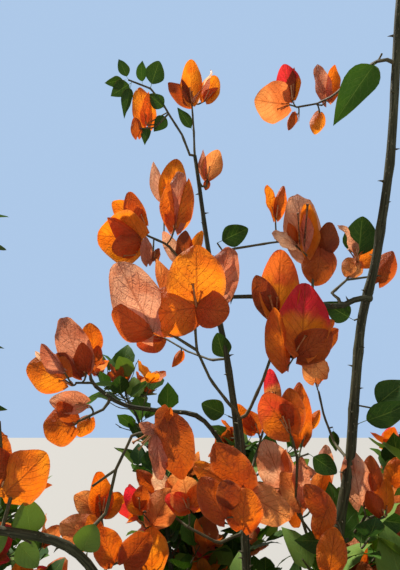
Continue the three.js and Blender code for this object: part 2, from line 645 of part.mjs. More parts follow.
// The hub looks back down its stalk, tilted towards the bloom's axis as far as the stalk's length lets it
function setHub(flower, root) {
  const run = root.clone().sub(flower.seat);
  const most = Math.min(THREE.MathUtils.degToRad(twig.hubTilt), Math.atan((twig.hubClear * run.length()) / twig.hubRadius));
  run.normalize();
  const back = flower.axis.clone().negate();
  const bend = run.angleTo(back);
  flower.inward = bend > most ? run.clone().applyAxisAngle(run.clone().cross(back).normalize(), most) : back;
  const inHub = flower.seat.clone().addScaledVector(flower.inward, twig.hubDepth);
  for (const bract of flower.bracts) {
    bract.base = inHub.clone().addScaledVector(across(flower.inward, bract.aim), twig.hubSpread);
  }
}

function leafBlade({ base, tip, turn }) {
  const aim = tip.clone().sub(base).normalize();
  const facing = across(aim, up).applyAxisAngle(aim, THREE.MathUtils.degToRad(turn));
  return { base, tip, facing };
}

// A twig's tube, or with a bloom at its end one that widens to the hub under the bracts
function twigSolid(run, thick, grow = 0, flower = null) {
  const radii = run.map((p, i) => THREE.MathUtils.lerp(thick, twig.tipRadius, i / (run.length - 1)) + grow);
  if (!flower) return solidOf(tube(run, radii, twig.sides));
  return hubTube(flower, [...run].reverse(), radii.reverse());
}

// The hub has a corner under each bract
function hubTube({ seat, inward, bracts }, rest, radii) {
  const corner = across(inward, bracts[0].facing).negate();
  return solidOf(tube([seat, ...rest], [twig.hubRadius, ...radii], twig.sides, corner, inward));
}

function isBlocked(solid, others) {
  const box = boxOf(solid);
  return others.some((other) => box.intersectsBox(other.box)
    && solid.intersect(other.solid).volume() > clearance.overlap);
}

function boxOf(solid) {
  const { min, max } = solid.boundingBox();
  return new THREE.Box3(new V(...min), new V(...max));
}

// Fuses a spray, leaving out what would touch a cane or another spray
function sprayGeometry(spray, others) {
  const runs = [];
  let solid = null;
  const join = (piece) => { solid = solid ? solid.add(piece) : piece; };
  const flowers = spray.blooms.map(flowerOf);
  spray.runs.forEach((run, k) => {
    const end = run[run.length - 1];
    const flower = flowers.find((one) => !one.carried && one.seat.distanceTo(end) < twig.longestStalk);
    if (flower) setHub(flower, end);
    if (k && isBlocked(twigSolid(run, twig.tipRadius, clearance.twig, flower), others)) return;
    if (flower) flower.carried = true;
    join(twigSolid(run, k ? twig.tipRadius : twig.radius, 0, flower));
    runs.push(run);
  });
  const blades = [];
  const put = ({ base, tip, facing }, shape, crossable = []) => {
    const outer = base.clone().lerp(tip, clearance.rootShare);
    if (isBlocked(solidOf(blade(outer, tip, facing, shape)), crossable)) return [];
    if (isBlocked(solidOf(blade(base, tip, facing, shape, clearance.blade)), others)) return [];
    const piece = solidOf(blade(base, tip, facing, shape));
    join(piece);
    return [{ solid: piece, box: boxOf(piece) }];
  };
  for (const flower of flowers) {
    if (!flower.carried) {
      const root = rootOn(runs, flower.seat);
      setHub(flower, root);
      const stalk = hubTube(flower, [root], [twig.stalkRadius]);
      if (isBlocked(stalk, others)) continue;
      join(stalk);
    }
    blades.push(...flower.bracts.flatMap((bract, k) => put(bract, flower.shape, k ? blades : [])));
  }
  for (const spot of spray.leaves) {
    blades.push(...put(leafBlade({ ...spot, base: rootOn(runs, spot.base) }), leaf, blades));
  }
  const whole = solid.decompose().sort((a, b) => b.volume() - a.volume())[0];
  others.push({ solid: whole, box: boxOf(whole) });
  return geometryOf(whole);
}

const bark = new THREE.MeshStandardMaterial({ color: 0x6b5f45, roughness: 0.85, metalness: 0 });
const greenBark = new THREE.MeshStandardMaterial({ color: 0x565a34, roughness: 0.75, metalness: 0 });
const orangeBract = new THREE.MeshStandardMaterial({ color: 0xe07a1c, roughness: 0.6, metalness: 0 });
const greenLeaf = new THREE.MeshStandardMaterial({ color: 0x3f6b24, roughness: 0.55, metalness: 0 });

const bush = new THREE.Group();
const taken = [];

function addNode(name, geometry, material) {
  const mesh = new THREE.Mesh(geometry, material.clone());
  mesh.name = name;
  bush.add(mesh);
  return mesh;
}

const trunkSolid = solidOf(trunkGeometry());
taken.push({ solid: trunkSolid, box: boxOf(trunkSolid) });
const trunkMesh = addNode('trunk', geometryOf(trunkSolid), bark);

const limbs = {};
for (const [name, spec] of Object.entries(canes)) {
  limbs[name] = makeLimb(spec);
  const sides = spec.foot.on === 'trunk' ? cane.sides : cane.armSides;
  const solid = solidOf(tube(limbs[name].points, limbs[name].radii, sides));
  taken.push({ solid, box: boxOf(solid) });
  addNode(name, geometryOf(solid), greenBark);
}

for (const [name, spec] of Object.entries(frontSprays)) {
  addNode(name, sprayGeometry(frontSpray(spec), taken), orangeBract);
}
Object.entries(ruleSprays).forEach(([name, spec], seed) => {
  addNode(name, sprayGeometry(ruleSpray(spec, seed), taken), greenLeaf);
});

export default bush;
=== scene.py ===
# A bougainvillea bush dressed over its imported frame: ridged bark, twigs, green leaves and papery orange
# bracts. The tables are in millimetres as in the part's source, the scene is in metres. +Z is up, and the
# side that the picture shows faces -Y.
import json
import math

import bpy
from mathutils import Matrix, Quaternion, Vector

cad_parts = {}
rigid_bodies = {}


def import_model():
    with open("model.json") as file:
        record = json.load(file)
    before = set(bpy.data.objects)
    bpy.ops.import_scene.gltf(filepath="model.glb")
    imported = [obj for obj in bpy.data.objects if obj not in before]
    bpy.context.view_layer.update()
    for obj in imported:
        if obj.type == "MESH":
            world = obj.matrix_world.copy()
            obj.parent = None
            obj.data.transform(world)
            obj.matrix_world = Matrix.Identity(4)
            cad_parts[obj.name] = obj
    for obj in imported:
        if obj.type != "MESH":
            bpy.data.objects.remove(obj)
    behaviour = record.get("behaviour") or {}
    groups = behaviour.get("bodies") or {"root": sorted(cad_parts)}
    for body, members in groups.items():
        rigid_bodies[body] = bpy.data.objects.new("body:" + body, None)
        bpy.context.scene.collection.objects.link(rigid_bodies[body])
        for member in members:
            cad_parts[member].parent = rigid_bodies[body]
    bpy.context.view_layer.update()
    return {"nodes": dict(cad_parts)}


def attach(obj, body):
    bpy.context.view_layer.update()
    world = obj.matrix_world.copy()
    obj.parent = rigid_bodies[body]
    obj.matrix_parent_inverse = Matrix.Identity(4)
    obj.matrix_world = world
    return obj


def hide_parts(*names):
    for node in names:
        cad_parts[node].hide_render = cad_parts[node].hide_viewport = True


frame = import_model()
print("frame loaded:", len(frame["nodes"]), "nodes")

mm = 0.001
upward, frontward = Vector((0, 0, 1)), Vector((0, -1, 0))


# A node tree, with short words for its nodes and sums
class Graph:
    def __init__(self, tree):
        self.tree = tree

    # A new node's outputs: what feeds its sockets by place, then by name, then its settings
    def node(self, kind, *values, named=None, **settings):
        node = self.tree.nodes.new(kind)
        for name, value in settings.items():
            setattr(node, name, value)
        for key, value in [*enumerate(values), *(named or {}).items()]:
            if isinstance(value, bpy.types.NodeSocket):
                self.tree.links.new(value, node.inputs[key])
            elif value is not None:
                node.inputs[key].default_value = value
        return node.outputs

    def sum(self, operation, *values, clamp=False):
        return self.node("ShaderNodeMath", *values, operation=operation, use_clamp=clamp)[0]

    def add(self, first, second):
        return self.sum("ADD", first, second)

    def less(self, first, second):
        return self.sum("SUBTRACT", first, second)

    def times(self, first, second):
        return self.sum("MULTIPLY", first, second)

    def ramp(self, value, low, high, bottom=0.0, top=1.0):
        spans = low, high, bottom, top
        return self.node("ShaderNodeMapRange", value, *spans, interpolation_type="SMOOTHSTEP")[0]

    # A colour Mix node takes its colours at sockets 6 and 7 and gives one at output 2
    def mix(self, factor, first, second, blend="MIX"):
        first, second = ((*colour, 1) if isinstance(colour, tuple) else colour for colour in (first, second))
        named = {6: first, 7: second}
        return self.node("ShaderNodeMix", factor, named=named, data_type="RGBA", blend_type=blend)[2]

    def noise(self, place, scale, detail=3.0, roughness=0.5, distortion=0.0):
        named = {"Vector": place, "Scale": scale, "Detail": detail, "Roughness": roughness}
        named["Distortion"] = distortion
        return self.node("ShaderNodeTexNoise", named=named)["Fac"]

    def bump(self, height, distance, strength):
        named = {"Height": height, "Distance": distance, "Strength": strength}
        return self.node("ShaderNodeBump", named=named)[0]

    def read(self, name, output="Color"):
        return self.node("ShaderNodeAttribute", attribute_name=name)[output]


cameraView = {
    "eye": (-40, -450, 640), "tiltUp": 20, "focalPixels": 400, "pictureHeight": 570, "filmHeight": 36,
    "nearest": 0.01, "farthest": 60,
}
studio = {
    "floorSize": 80, "floorColour": (0.30, 0.30, 0.295), "floorRoughness": 0.9,
    "backdrop": (0.42, 0.58, 0.81), "fillColour": (0.90, 0.94, 1.0), "fillStrength": 0.30,
    "keyPlace": (-1.25, 0.45, 3.1), "keySpread": 4.5, "keyStrength": 7.6, "keyColour": (1.0, 0.95, 0.87),
    "softPlace": (0.9, -2.4, 1.7), "softSize": 2.2, "softPower": 10, "aim": (0.0, -0.15, 0.65),
}
eye, tilt = Vector(cameraView["eye"]), math.radians(cameraView["tiltUp"])


def linkObject(name, data):
    thing = bpy.data.objects.new(name, data)
    bpy.context.collection.objects.link(thing)
    return thing


def makeCamera():
    data = bpy.data.cameras.new("pictureCamera")
    data.sensor_width = cameraView["filmHeight"]
    data.lens = cameraView["filmHeight"] * cameraView["focalPixels"] / cameraView["pictureHeight"]
    data.clip_start, data.clip_end = cameraView["nearest"], cameraView["farthest"]
    camera = linkObject("pictureCamera", data)
    camera.location = eye * mm
    camera.rotation_euler = (math.radians(90 + cameraView["tiltUp"]), 0, 0)
    bpy.context.scene.camera = camera


def makeLight(name, kind, place, **settings):
    data = bpy.data.lights.new(name, kind)
    for setting, value in settings.items():
        setattr(data, setting, value)
    light = linkObject(name, data)
    light.location = place
    light.rotation_euler = (Vector(studio["aim"]) - Vector(place)).to_track_quat("-Z", "Y").to_euler()


def newMaterial(name):
    material = bpy.data.materials.new(name)
    material.use_nodes = True
    material.node_tree.nodes.clear()
    return material, Graph(material.node_tree)


# A Principled face, and the light that a thin blade lets through
def finishMaterial(graph, face, through=None, share=0.0):
    surface = graph.node("ShaderNodeBsdfPrincipled", named=face)[0]
    if through:
        glow = graph.node("ShaderNodeBsdfTranslucent", named=through)[0]
        surface = graph.node("ShaderNodeMixShader", share, surface, glow)[0]
    graph.node("ShaderNodeOutputMaterial", surface)


def makeStudio():
    makeLight("keyLight", "SUN", studio["keyPlace"], angle=math.radians(studio["keySpread"]),
              energy=studio["keyStrength"], color=studio["keyColour"])
    makeLight("softLight", "AREA", studio["softPlace"], shape="DISK", size=studio["softSize"],
              energy=studio["softPower"])
    world = bpy.data.worlds.new("paleRoom")
    bpy.context.scene.world = world
    world.use_nodes = True
    world.node_tree.nodes.clear()
    graph = Graph(world.node_tree)
    fill = graph.node("ShaderNodeBackground", (*studio["fillColour"], 1), studio["fillStrength"])[0]
    back = graph.node("ShaderNodeBackground", (*studio["backdrop"], 1))[0]
    seen = graph.node("ShaderNodeLightPath")["Is Camera Ray"]
    graph.node("ShaderNodeOutputWorld", graph.node("ShaderNodeMixShader", seen, fill, back)[0])
    half = studio["floorSize"] / 2
    mesh = bpy.data.meshes.new("studioFloor")
    corners = [(-half, -half, 0), (half, -half, 0), (half, half, 0), (-half, half, 0)]
    mesh.from_pydata(corners, [], [(0, 1, 2, 3)])
    paint, graph = newMaterial("floorPaint")
    finishMaterial(graph, {"Base Color": (*studio["floorColour"], 1), "Roughness": studio["floorRoughness"]})
    mesh.materials.append(paint)
    linkObject("studioFloor", mesh)
    bpy.context.scene.view_settings.view_transform = "Standard"


makeCamera()
makeStudio()
print("camera, floor and light made")


def newGroup(name, inputs, outputs):
    group = bpy.data.node_groups.new(name, "ShaderNodeTree")
    for label, value in inputs.items():
        socket = group.interface.new_socket(name=label, in_out="INPUT", socket_type="NodeSocketFloat")
        socket.default_value = value
    for label in outputs:
        group.interface.new_socket(name=label, in_out="OUTPUT", socket_type="NodeSocketFloat")
    return Graph(group), group.nodes.new("NodeGroupInput").outputs


# Spans on the blade's map from 0 to 1, and the widest stir of the lines
veinLines = {
    "midrib": (0.006, 0.026), "ribTaper": (0.0, 0.48, 1.0, 0.35), "ribFade": (0.30, 0.49, 1.0, 0.25),
    "net": 0.09, "stirScale": 70.0, "stirDetail": 2.0, "ribStir": 2.0,
}
mottleForm = {"creaseScale": 3.2, "creaseDetail": 2.0, "creaseTwist": 1.4}
barkForm = {
    "ridgeDetail": 5.0, "ridgeRoughness": 0.62, "ridgeTwist": 0.5, "pore": (0.10, 0.24), "patchScale": 34.0,
    "stretch": 0.1, "poreScale": 230.0, "ridgeSpan": (0.34, 0.66), "patchSpan": (0.42, 0.66),
    "patched": 0.5, "patchTint": 0.55, "pored": 0.55, "poreRelief": 0.35, "roughSpan": (0.3, 0.7),
    "roughLow": 0.12, "roughHigh": 0.08, "reliefStrength": 0.9, "specular": 0.3,
}
downForm = {
    "scale": 620.0, "detail": 4.0, "roughness": 0.6, "span": (0.35, 0.7, 0.0, 0.6),
    "colour": (0.42, 0.22, 0.10), "rough": 0.62, "specular": 0.25, "relief": 0.0004, "reliefStrength": 0.7,
}


# The veins of a blade, drawn on its own map: midrib, curved side ribs and a fine net
def makeVeinGroup():
    graph, given = newGroup(
        "bladeVeins", {"Ribs": 7.0, "Sweep": 0.8, "Rib width": 0.1, "Net scale": 9.0, "Unevenness": 0.3},
        ["Midrib", "Side ribs", "Net", "Along", "From midrib"])
    uv = graph.node("ShaderNodeUVMap", uv_map="bladeMap")["UV"]
    split = graph.node("ShaderNodeSeparateXYZ", uv)
    place = graph.node("ShaderNodeTexCoord")["Object"]
    stirring = graph.noise(place, veinLines["stirScale"], veinLines["stirDetail"])
    stir = graph.times(graph.less(stirring, 0.5), given["Unevenness"])
    aside, along = graph.sum("ABSOLUTE", graph.less(split["X"], 0.5)), split["Y"]
    midrib = graph.ramp(aside, *veinLines["midrib"], 1.0, 0.0)
    phase = graph.times(graph.less(along, graph.times(aside, given["Sweep"])), given["Ribs"])
    wave = graph.sum("PINGPONG", graph.add(phase, graph.times(stir, veinLines["ribStir"])), 0.5)
    thin = graph.times(given["Rib width"], graph.ramp(aside, *veinLines["ribTaper"]))
    ribs = graph.times(graph.ramp(wave, 0.0, thin, 1.0, 0.0), graph.ramp(aside, *veinLines["ribFade"]))
    shove = graph.node("ShaderNodeCombineXYZ", stir, stir)[0]
    bent = graph.node("ShaderNodeVectorMath", uv, shove, operation="ADD")[0]
    cells = graph.node("ShaderNodeTexVoronoi", named={"Vector": bent, "Scale": given["Net scale"]},
                       feature="DISTANCE_TO_EDGE")
    net = graph.ramp(cells["Distance"], 0.0, veinLines["net"], 1.0, 0.0)
    graph.node("NodeGroupOutput", midrib, ribs, net, along, aside)
    return graph.tree


def makeMottleGroup():
    graph, given = newGroup("paperMottle", {"Broad scale": 60.0, "Fine scale": 900.0},
                            ["Broad", "Fine", "Crinkle"])
    place = graph.node("ShaderNodeTexCoord")["Object"]
    broad, fine = (graph.noise(place, given[name]) for name in ("Broad scale", "Fine scale"))
    crease = graph.noise(place, graph.times(given["Broad scale"], mottleForm["creaseScale"]),
                         mottleForm["creaseDetail"], distortion=mottleForm["creaseTwist"])
    graph.node("NodeGroupOutput", broad, fine, graph.sum("ABSOLUTE", graph.less(crease, 0.5)))
    return graph.tree


# Bark drawn round and along a limb, from the attribute that its skin carries
def makeBarkGroup():
    graph, given = newGroup("barkGrain", {"Ridge scale": 420.0, "Stretch": 0.12, "Pore scale": 260.0},
                            ["Ridges", "Pores", "Patches"])
    place = graph.read("barkPlace", "Vector")
    split = graph.node("ShaderNodeSeparateXYZ", place)
    drawn = graph.node("ShaderNodeCombineXYZ", split[0], split[1], graph.times(split[2], given["Stretch"]))[0]
    ridges = graph.noise(drawn, given["Ridge scale"], barkForm["ridgeDetail"], barkForm["ridgeRoughness"],
                         barkForm["ridgeTwist"])
    cells = {"Vector": place, "Scale": given["Pore scale"]}
    pores = graph.node("ShaderNodeTexVoronoi", named=cells)["Distance"]
    patches = graph.noise(place, barkForm["patchScale"])
    graph.node("NodeGroupOutput", ridges, graph.ramp(pores, *barkForm["pore"], 1.0, 0.0), patches)
    return graph.tree


veinGroup, mottleGroup, barkGroup = makeVeinGroup(), makeMottleGroup(), makeBarkGroup()
# veins: ribs, sweep, rib width, net scale, unevenness; mottle: broad and fine scale
bractFinish = {
    "veins": (6.5, 0.9, 0.11, 10.0, 0.34), "mottle": (55.0, 700.0), "veinColour": (0.34, 0.055, 0.008),
    "mottleSpan": (0.38, 0.64), "mottleTint": (0.82, 0.55, 0.44), "mottled": 0.95,
    # The foot span and its tint paint shade near the foot; the rim colour darkens the margins, partly as
    # their own tone and partly as painted shade.
    "foot": (0.0, 0.42, 0.55, 0.0), "footShadeTint": (0.80, 0.55, 0.45), "rim": (0.40, 0.50, 0.0, 0.38),
    "rimToneAndShade": (0.55, 0.17, 0.07), "flushSpan": (0.62, 0.86), "flushColour": (0.72, 0.006, 0.050),
    "sheenColour": (0.80, 0.42, 0.28), "sheen": 0.07, "ribs": 0.75, "drawn": 0.5, "net": 0.15,
    "ribRelief": 0.55, "netRelief": 0.12, "crinkleRelief": 2.7, "fineRelief": 0.25, "relief": 0.0008,
    "reliefStrength": 0.85, "roughness": (0.3, 0.7, 0.42, 0.60), "specular": 0.30,
    "throughTint": (1.0, 0.94, 0.62), "through": 0.58,
}
leafFinish = {
    "veins": (6.0, 0.75, 0.09, 12.0, 0.22), "mottle": (48.0, 620.0), "veinColour": (0.20, 0.30, 0.07),
    "mottleSpan": (0.3, 0.7), "mottleTint": (1.25, 1.1, 0.6), "mottled": 0.45, "rim": (0.44, 0.50),
    "wornSpan": (0.48, 0.60), "wornColour": (0.14, 0.13, 0.03), "worn": 0.7,
    "ribs": 0.6, "drawn": 0.45, "net": 0.1, "ribRelief": 0.8, "broadRelief": 0.6, "fineRelief": 0.2,
    "relief": 0.0004, "reliefStrength": 0.8, "roughness": (0.3, 0.7, 0.54, 0.70), "specular": 0.18,
    "throughTint": (1.0, 1.0, 0.35), "through": 0.24,
}


# What bracts and leaves share: their tint with its mottling, and how the veins are drawn
def bladeMaterial(name, finish):
    material, graph = newMaterial(name)
    veins = graph.node("ShaderNodeGroup", *finish["veins"], node_tree=veinGroup)
    mottle = graph.node("ShaderNodeGroup", *finish["mottle"], node_tree=mottleGroup)
    patches = graph.ramp(mottle["Broad"], *finish["mottleSpan"], 0.0, finish["mottled"])
    tint = graph.mix(patches, graph.read("tint"), finish["mottleTint"], "MULTIPLY")
    lines = graph.sum("MAXIMUM", veins["Midrib"], graph.times(veins["Side ribs"], finish["ribs"]))
    net = graph.times(veins["Net"], finish["net"])
    drawn = graph.sum("MAXIMUM", graph.times(lines, finish["drawn"]), net)
    return material, graph, veins, mottle, tint, lines, drawn


def finishBlade(graph, finish, mottle, colour, face, height, throughNormal):
    height = graph.add(height, graph.times(mottle["Fine"], finish["fineRelief"]))
    normal = graph.bump(height, finish["relief"], finish["reliefStrength"])
    roughness = graph.ramp(mottle["Fine"], *finish["roughness"])
    through = graph.mix(1.0, colour, finish["throughTint"], "MULTIPLY")
    specular, glow = finish["specular"], {"Color": through, "Normal": normal if throughNormal else None}
    surface = {"Base Color": face, "Roughness": roughness, "Normal": normal, "Specular IOR Level": specular}
    finishMaterial(graph, surface, glow, finish["through"])


def makeBractMaterial():
    finish = bractFinish
    material, graph, veins, mottle, tint, lines, drawn = bladeMaterial("paperyBract", finish)
    # Painted shade: the tint darkens and reddens towards the foot, where the bracts overlap. It also darkens
    # at the margins, partly as the paper's own tone and partly as painted shade.
    shadedFoot = graph.mix(graph.ramp(veins["Along"], *finish["foot"]), tint, finish["footShadeTint"], "MULTIPLY")
    rim = graph.ramp(veins["From midrib"], *finish["rim"])
    glow = graph.ramp(graph.add(veins["Along"], graph.times(mottle["Broad"], 0.5)), *finish["flushSpan"])
    blush = graph.sum("MULTIPLY", glow, graph.read("flush", "Fac"), clamp=True)
    flushed = graph.mix(blush, graph.mix(rim, shadedFoot, finish["rimToneAndShade"]), finish["flushColour"])
    colour = graph.mix(drawn, flushed, finish["veinColour"])
    net = graph.times(veins["Net"], finish["netRelief"])
    height = graph.add(graph.times(lines, finish["ribRelief"]), net)
    height = graph.add(height, graph.times(mottle["Crinkle"], finish["crinkleRelief"]))
    papery = graph.mix(finish["sheen"], colour, finish["sheenColour"])
    finishBlade(graph, finish, mottle, colour, papery, height, True)
    return material


def makeLeafMaterial():
    finish = leafFinish
    material, graph, veins, mottle, tint, lines, drawn = bladeMaterial("greenLeaf", finish)
    rim = graph.ramp(veins["From midrib"], *finish["rim"])
    worn = graph.ramp(mottle["Broad"], *finish["wornSpan"])
    aged = graph.mix(graph.times(graph.times(rim, worn), finish["worn"]), tint, finish["wornColour"])
    colour = graph.mix(drawn, aged, finish["veinColour"])
    broad = graph.times(mottle["Broad"], finish["broadRelief"])
    height = graph.less(broad, graph.times(lines, finish["ribRelief"]))
    finishBlade(graph, finish, mottle, colour, colour, height, False)
    return material


def makeBarkMaterial(name, deep, pale, poreColour, ridgeScale, relief, rough):
    material, graph = newMaterial(name)
    given = ridgeScale, barkForm["stretch"], barkForm["poreScale"]
    grain = graph.node("ShaderNodeGroup", *given, node_tree=barkGroup)
    base = graph.mix(graph.ramp(grain["Ridges"], *barkForm["ridgeSpan"]), deep, pale)
    patches = graph.ramp(grain["Patches"], *barkForm["patchSpan"], 0.0, barkForm["patched"])
    patched = graph.mix(patches, base, tuple(barkForm["patchTint"] * c for c in deep))
    colour = graph.mix(graph.times(grain["Pores"], barkForm["pored"]), patched, poreColour)
    height = graph.add(grain["Ridges"], graph.times(grain["Pores"], barkForm["poreRelief"]))
    roughness = graph.ramp(grain["Ridges"], *barkForm["roughSpan"], rough + barkForm["roughLow"],
                           rough - barkForm["roughHigh"])
    finishMaterial(graph, {
        "Base Color": colour, "Roughness": roughness, "Specular IOR Level": barkForm["specular"],
        "Normal": graph.bump(height, relief, barkForm["reliefStrength"])})
    return material


def makeTubeMaterial():
    material, graph = newMaterial("flowerTube")
    place = graph.node("ShaderNodeTexCoord")["Object"]
    down = graph.noise(place, downForm["scale"], downForm["detail"], downForm["roughness"])
    colour = graph.mix(graph.ramp(down, *downForm["span"]), graph.read("tint"), downForm["colour"])
    finishMaterial(graph, {
        "Base Color": colour, "Roughness": downForm["rough"], "Specular IOR Level": downForm["specular"],
        "Normal": graph.bump(down, downForm["relief"], downForm["reliefStrength"])})
    return material


bractMaterial, leafMaterial, tubeMaterial = makeBractMaterial(), makeLeafMaterial(), makeTubeMaterial()
# deep, pale and pore colour, ridge scale, relief and roughness
barkMaterial, caneMaterial, twigMaterial = (makeBarkMaterial(*finish) for finish in (
    ("oldBark", (0.085, 0.060, 0.036), (0.25, 0.205, 0.145), (0.33, 0.28, 0.20), 300.0, 0.0022, 0.78),
    ("caneBark", (0.017, 0.019, 0.008), (0.068, 0.068, 0.034), (0.15, 0.13, 0.085), 520.0, 0.0007, 0.70),
    ("greenTwig", (0.028, 0.026, 0.012), (0.130, 0.112, 0.056), (0.17, 0.14, 0.085), 900.0, 0.0003, 0.72)))
print("materials made")

# The bush's own rule, as in the part's source
trunkForm = {
    "height": 88, "footRadius": 16, "topRadius": 12.5, "leanX": -5, "leanY": 4, "leanPower": 1.5,
    "flareRadius": 25, "flareHeight": 30, "flareRidges": 4, "ridgeDepth": 0.1,
}
caneForm = {"stepLength": 100, "fewestSteps": 3, "kneeReach": 1.5, "kneeShare": 0.05}
archForm = {"shares": (0.18, 0.4, 0.62, 0.82, 1), "outPower": 1.35, "risePower": 1.2, "firstRise": 45}
twigForm = {"radius": 1.2, "tipRadius": 0.85, "squareLength": 2.4, "places": 200, "seatGap": 0.3}
rule = {
    "nodes": 4, "turn": 137.5, "wander": 0.32, "sideLength": 0.5, "sideForward": 0.8, "sideRise": 0.5,
    "sideSpread": (0.75, 0.5), "stemLeafAt": 0.4, "stemLeafForward": 0.4, "sideLeafAt": 0.55,
    "sideLeafForward": 0.5, "endLeafAt": 0.1, "endLeafSide": 0.4, "leafLength": 62,
    "leafSpread": (0.78, 0.4), "leafWidth": 0.7, "leafTurn": 50, "leafDroop": 0.25, "bloomSize": 40,
    "bloomSpread": (0.85, 0.3), "bloomOpen": 0.5, "bloomRise": 0.5, "stalk": 9, "bractWidth": 0.84,
    "bractLean": 36,
}
# Each cane's foot, thickness at both ends and path. The foot is a height and bearing on the trunk, the
# trunk's top or a share of another cane. An arching cane has its bearing, reach, height and sway for a
# path.
caneTable = {
    "cane_middle": (("trunk",), 5.6, 1.7, [(-5, -28, 190), (-3, -62, 390), (-6, -93, 588),
        (-16, -116, 687), (-26, -120, 742), (-35, -124, 812), (-45, -129, 890)]),
    "cane_right": (("trunk", 74, 318), 6.2, 1.9, [(38, -40, 210), (56, -74, 400), (65, -94, 554),
        (74, -123, 626), (80, -162, 717), (87, -190, 761), (86, -239, 826), (84, -272, 881),
        (78, -318, 928), (66, -366, 946)]),
    "cane_low_left": (("trunk", 60, 236), 5.4, 2, [(-46, -66, 230), (-80, -122, 420),
        (-94, -150, 535), (-116, -174, 574), (-151, -195, 588), (-205, -216, 596)]),
    "cane_fork": (("cane_middle", 0.42), 2.9, 1.7, [(-3, -98, 500), (-7, -114, 560), (-9, -141, 625),
        (-12, -152, 648)]),
    "arm_left": (("cane_middle", 0.665), 2.2, 1.5, [(-41, -128, 650), (-70, -137, 654),
        (-97, -147, 658), (-115, -156, 670)]),
    "arm_right": (("cane_right", 0.7), 2.5, 1.6, [(62, -172, 725), (28, -176, 728), (1, -172, 732),
        (-20, -165, 734)]),
    "cane_tall_left": (("trunk", 68, 178), 5.8, 2, [(-80, -4, 180), (-172, -14, 330),
        (-262, -16, 480), (-318, -6, 630), (-346, 4, 750), (-360, 10, 855)]),
    "cane_tall_right": (("trunk", 66, 8), 5.6, 2, [(68, 10, 180), (136, 28, 330), (206, 42, 480),
        (264, 46, 610), (310, 44, 730), (336, 50, 832)]),
    "cane_back_left": (("trunk", 72, 122), 5.4, 2, (122, 275, 668, 12)),
    "cane_back": (("trunk", 56, 88), 5, 2, (80, 285, 560, -12)),
    "cane_back_right": (("trunk", 70, 48), 5, 2, (40, 290, 530, 10)),
    "cane_low_back_left": (("trunk", 46, 150), 4.6, 1.9, (152, 325, 455, -10)),
    "cane_low_side_left": (("trunk", 48, 208), 4.6, 1.9, (208, 335, 440, -10)),
    "cane_low_side_right": (("trunk", 46, 340), 4.6, 1.9, (338, 325, 450, 12)),
    "cane_low_front": (("trunk", 38, 266), 4.8, 1.9, (262, 320, 420, -12)),
    "cane_low_front_right": (("trunk", 56, 294), 4.6, 1.9, (302, 330, 430, 8)),
}
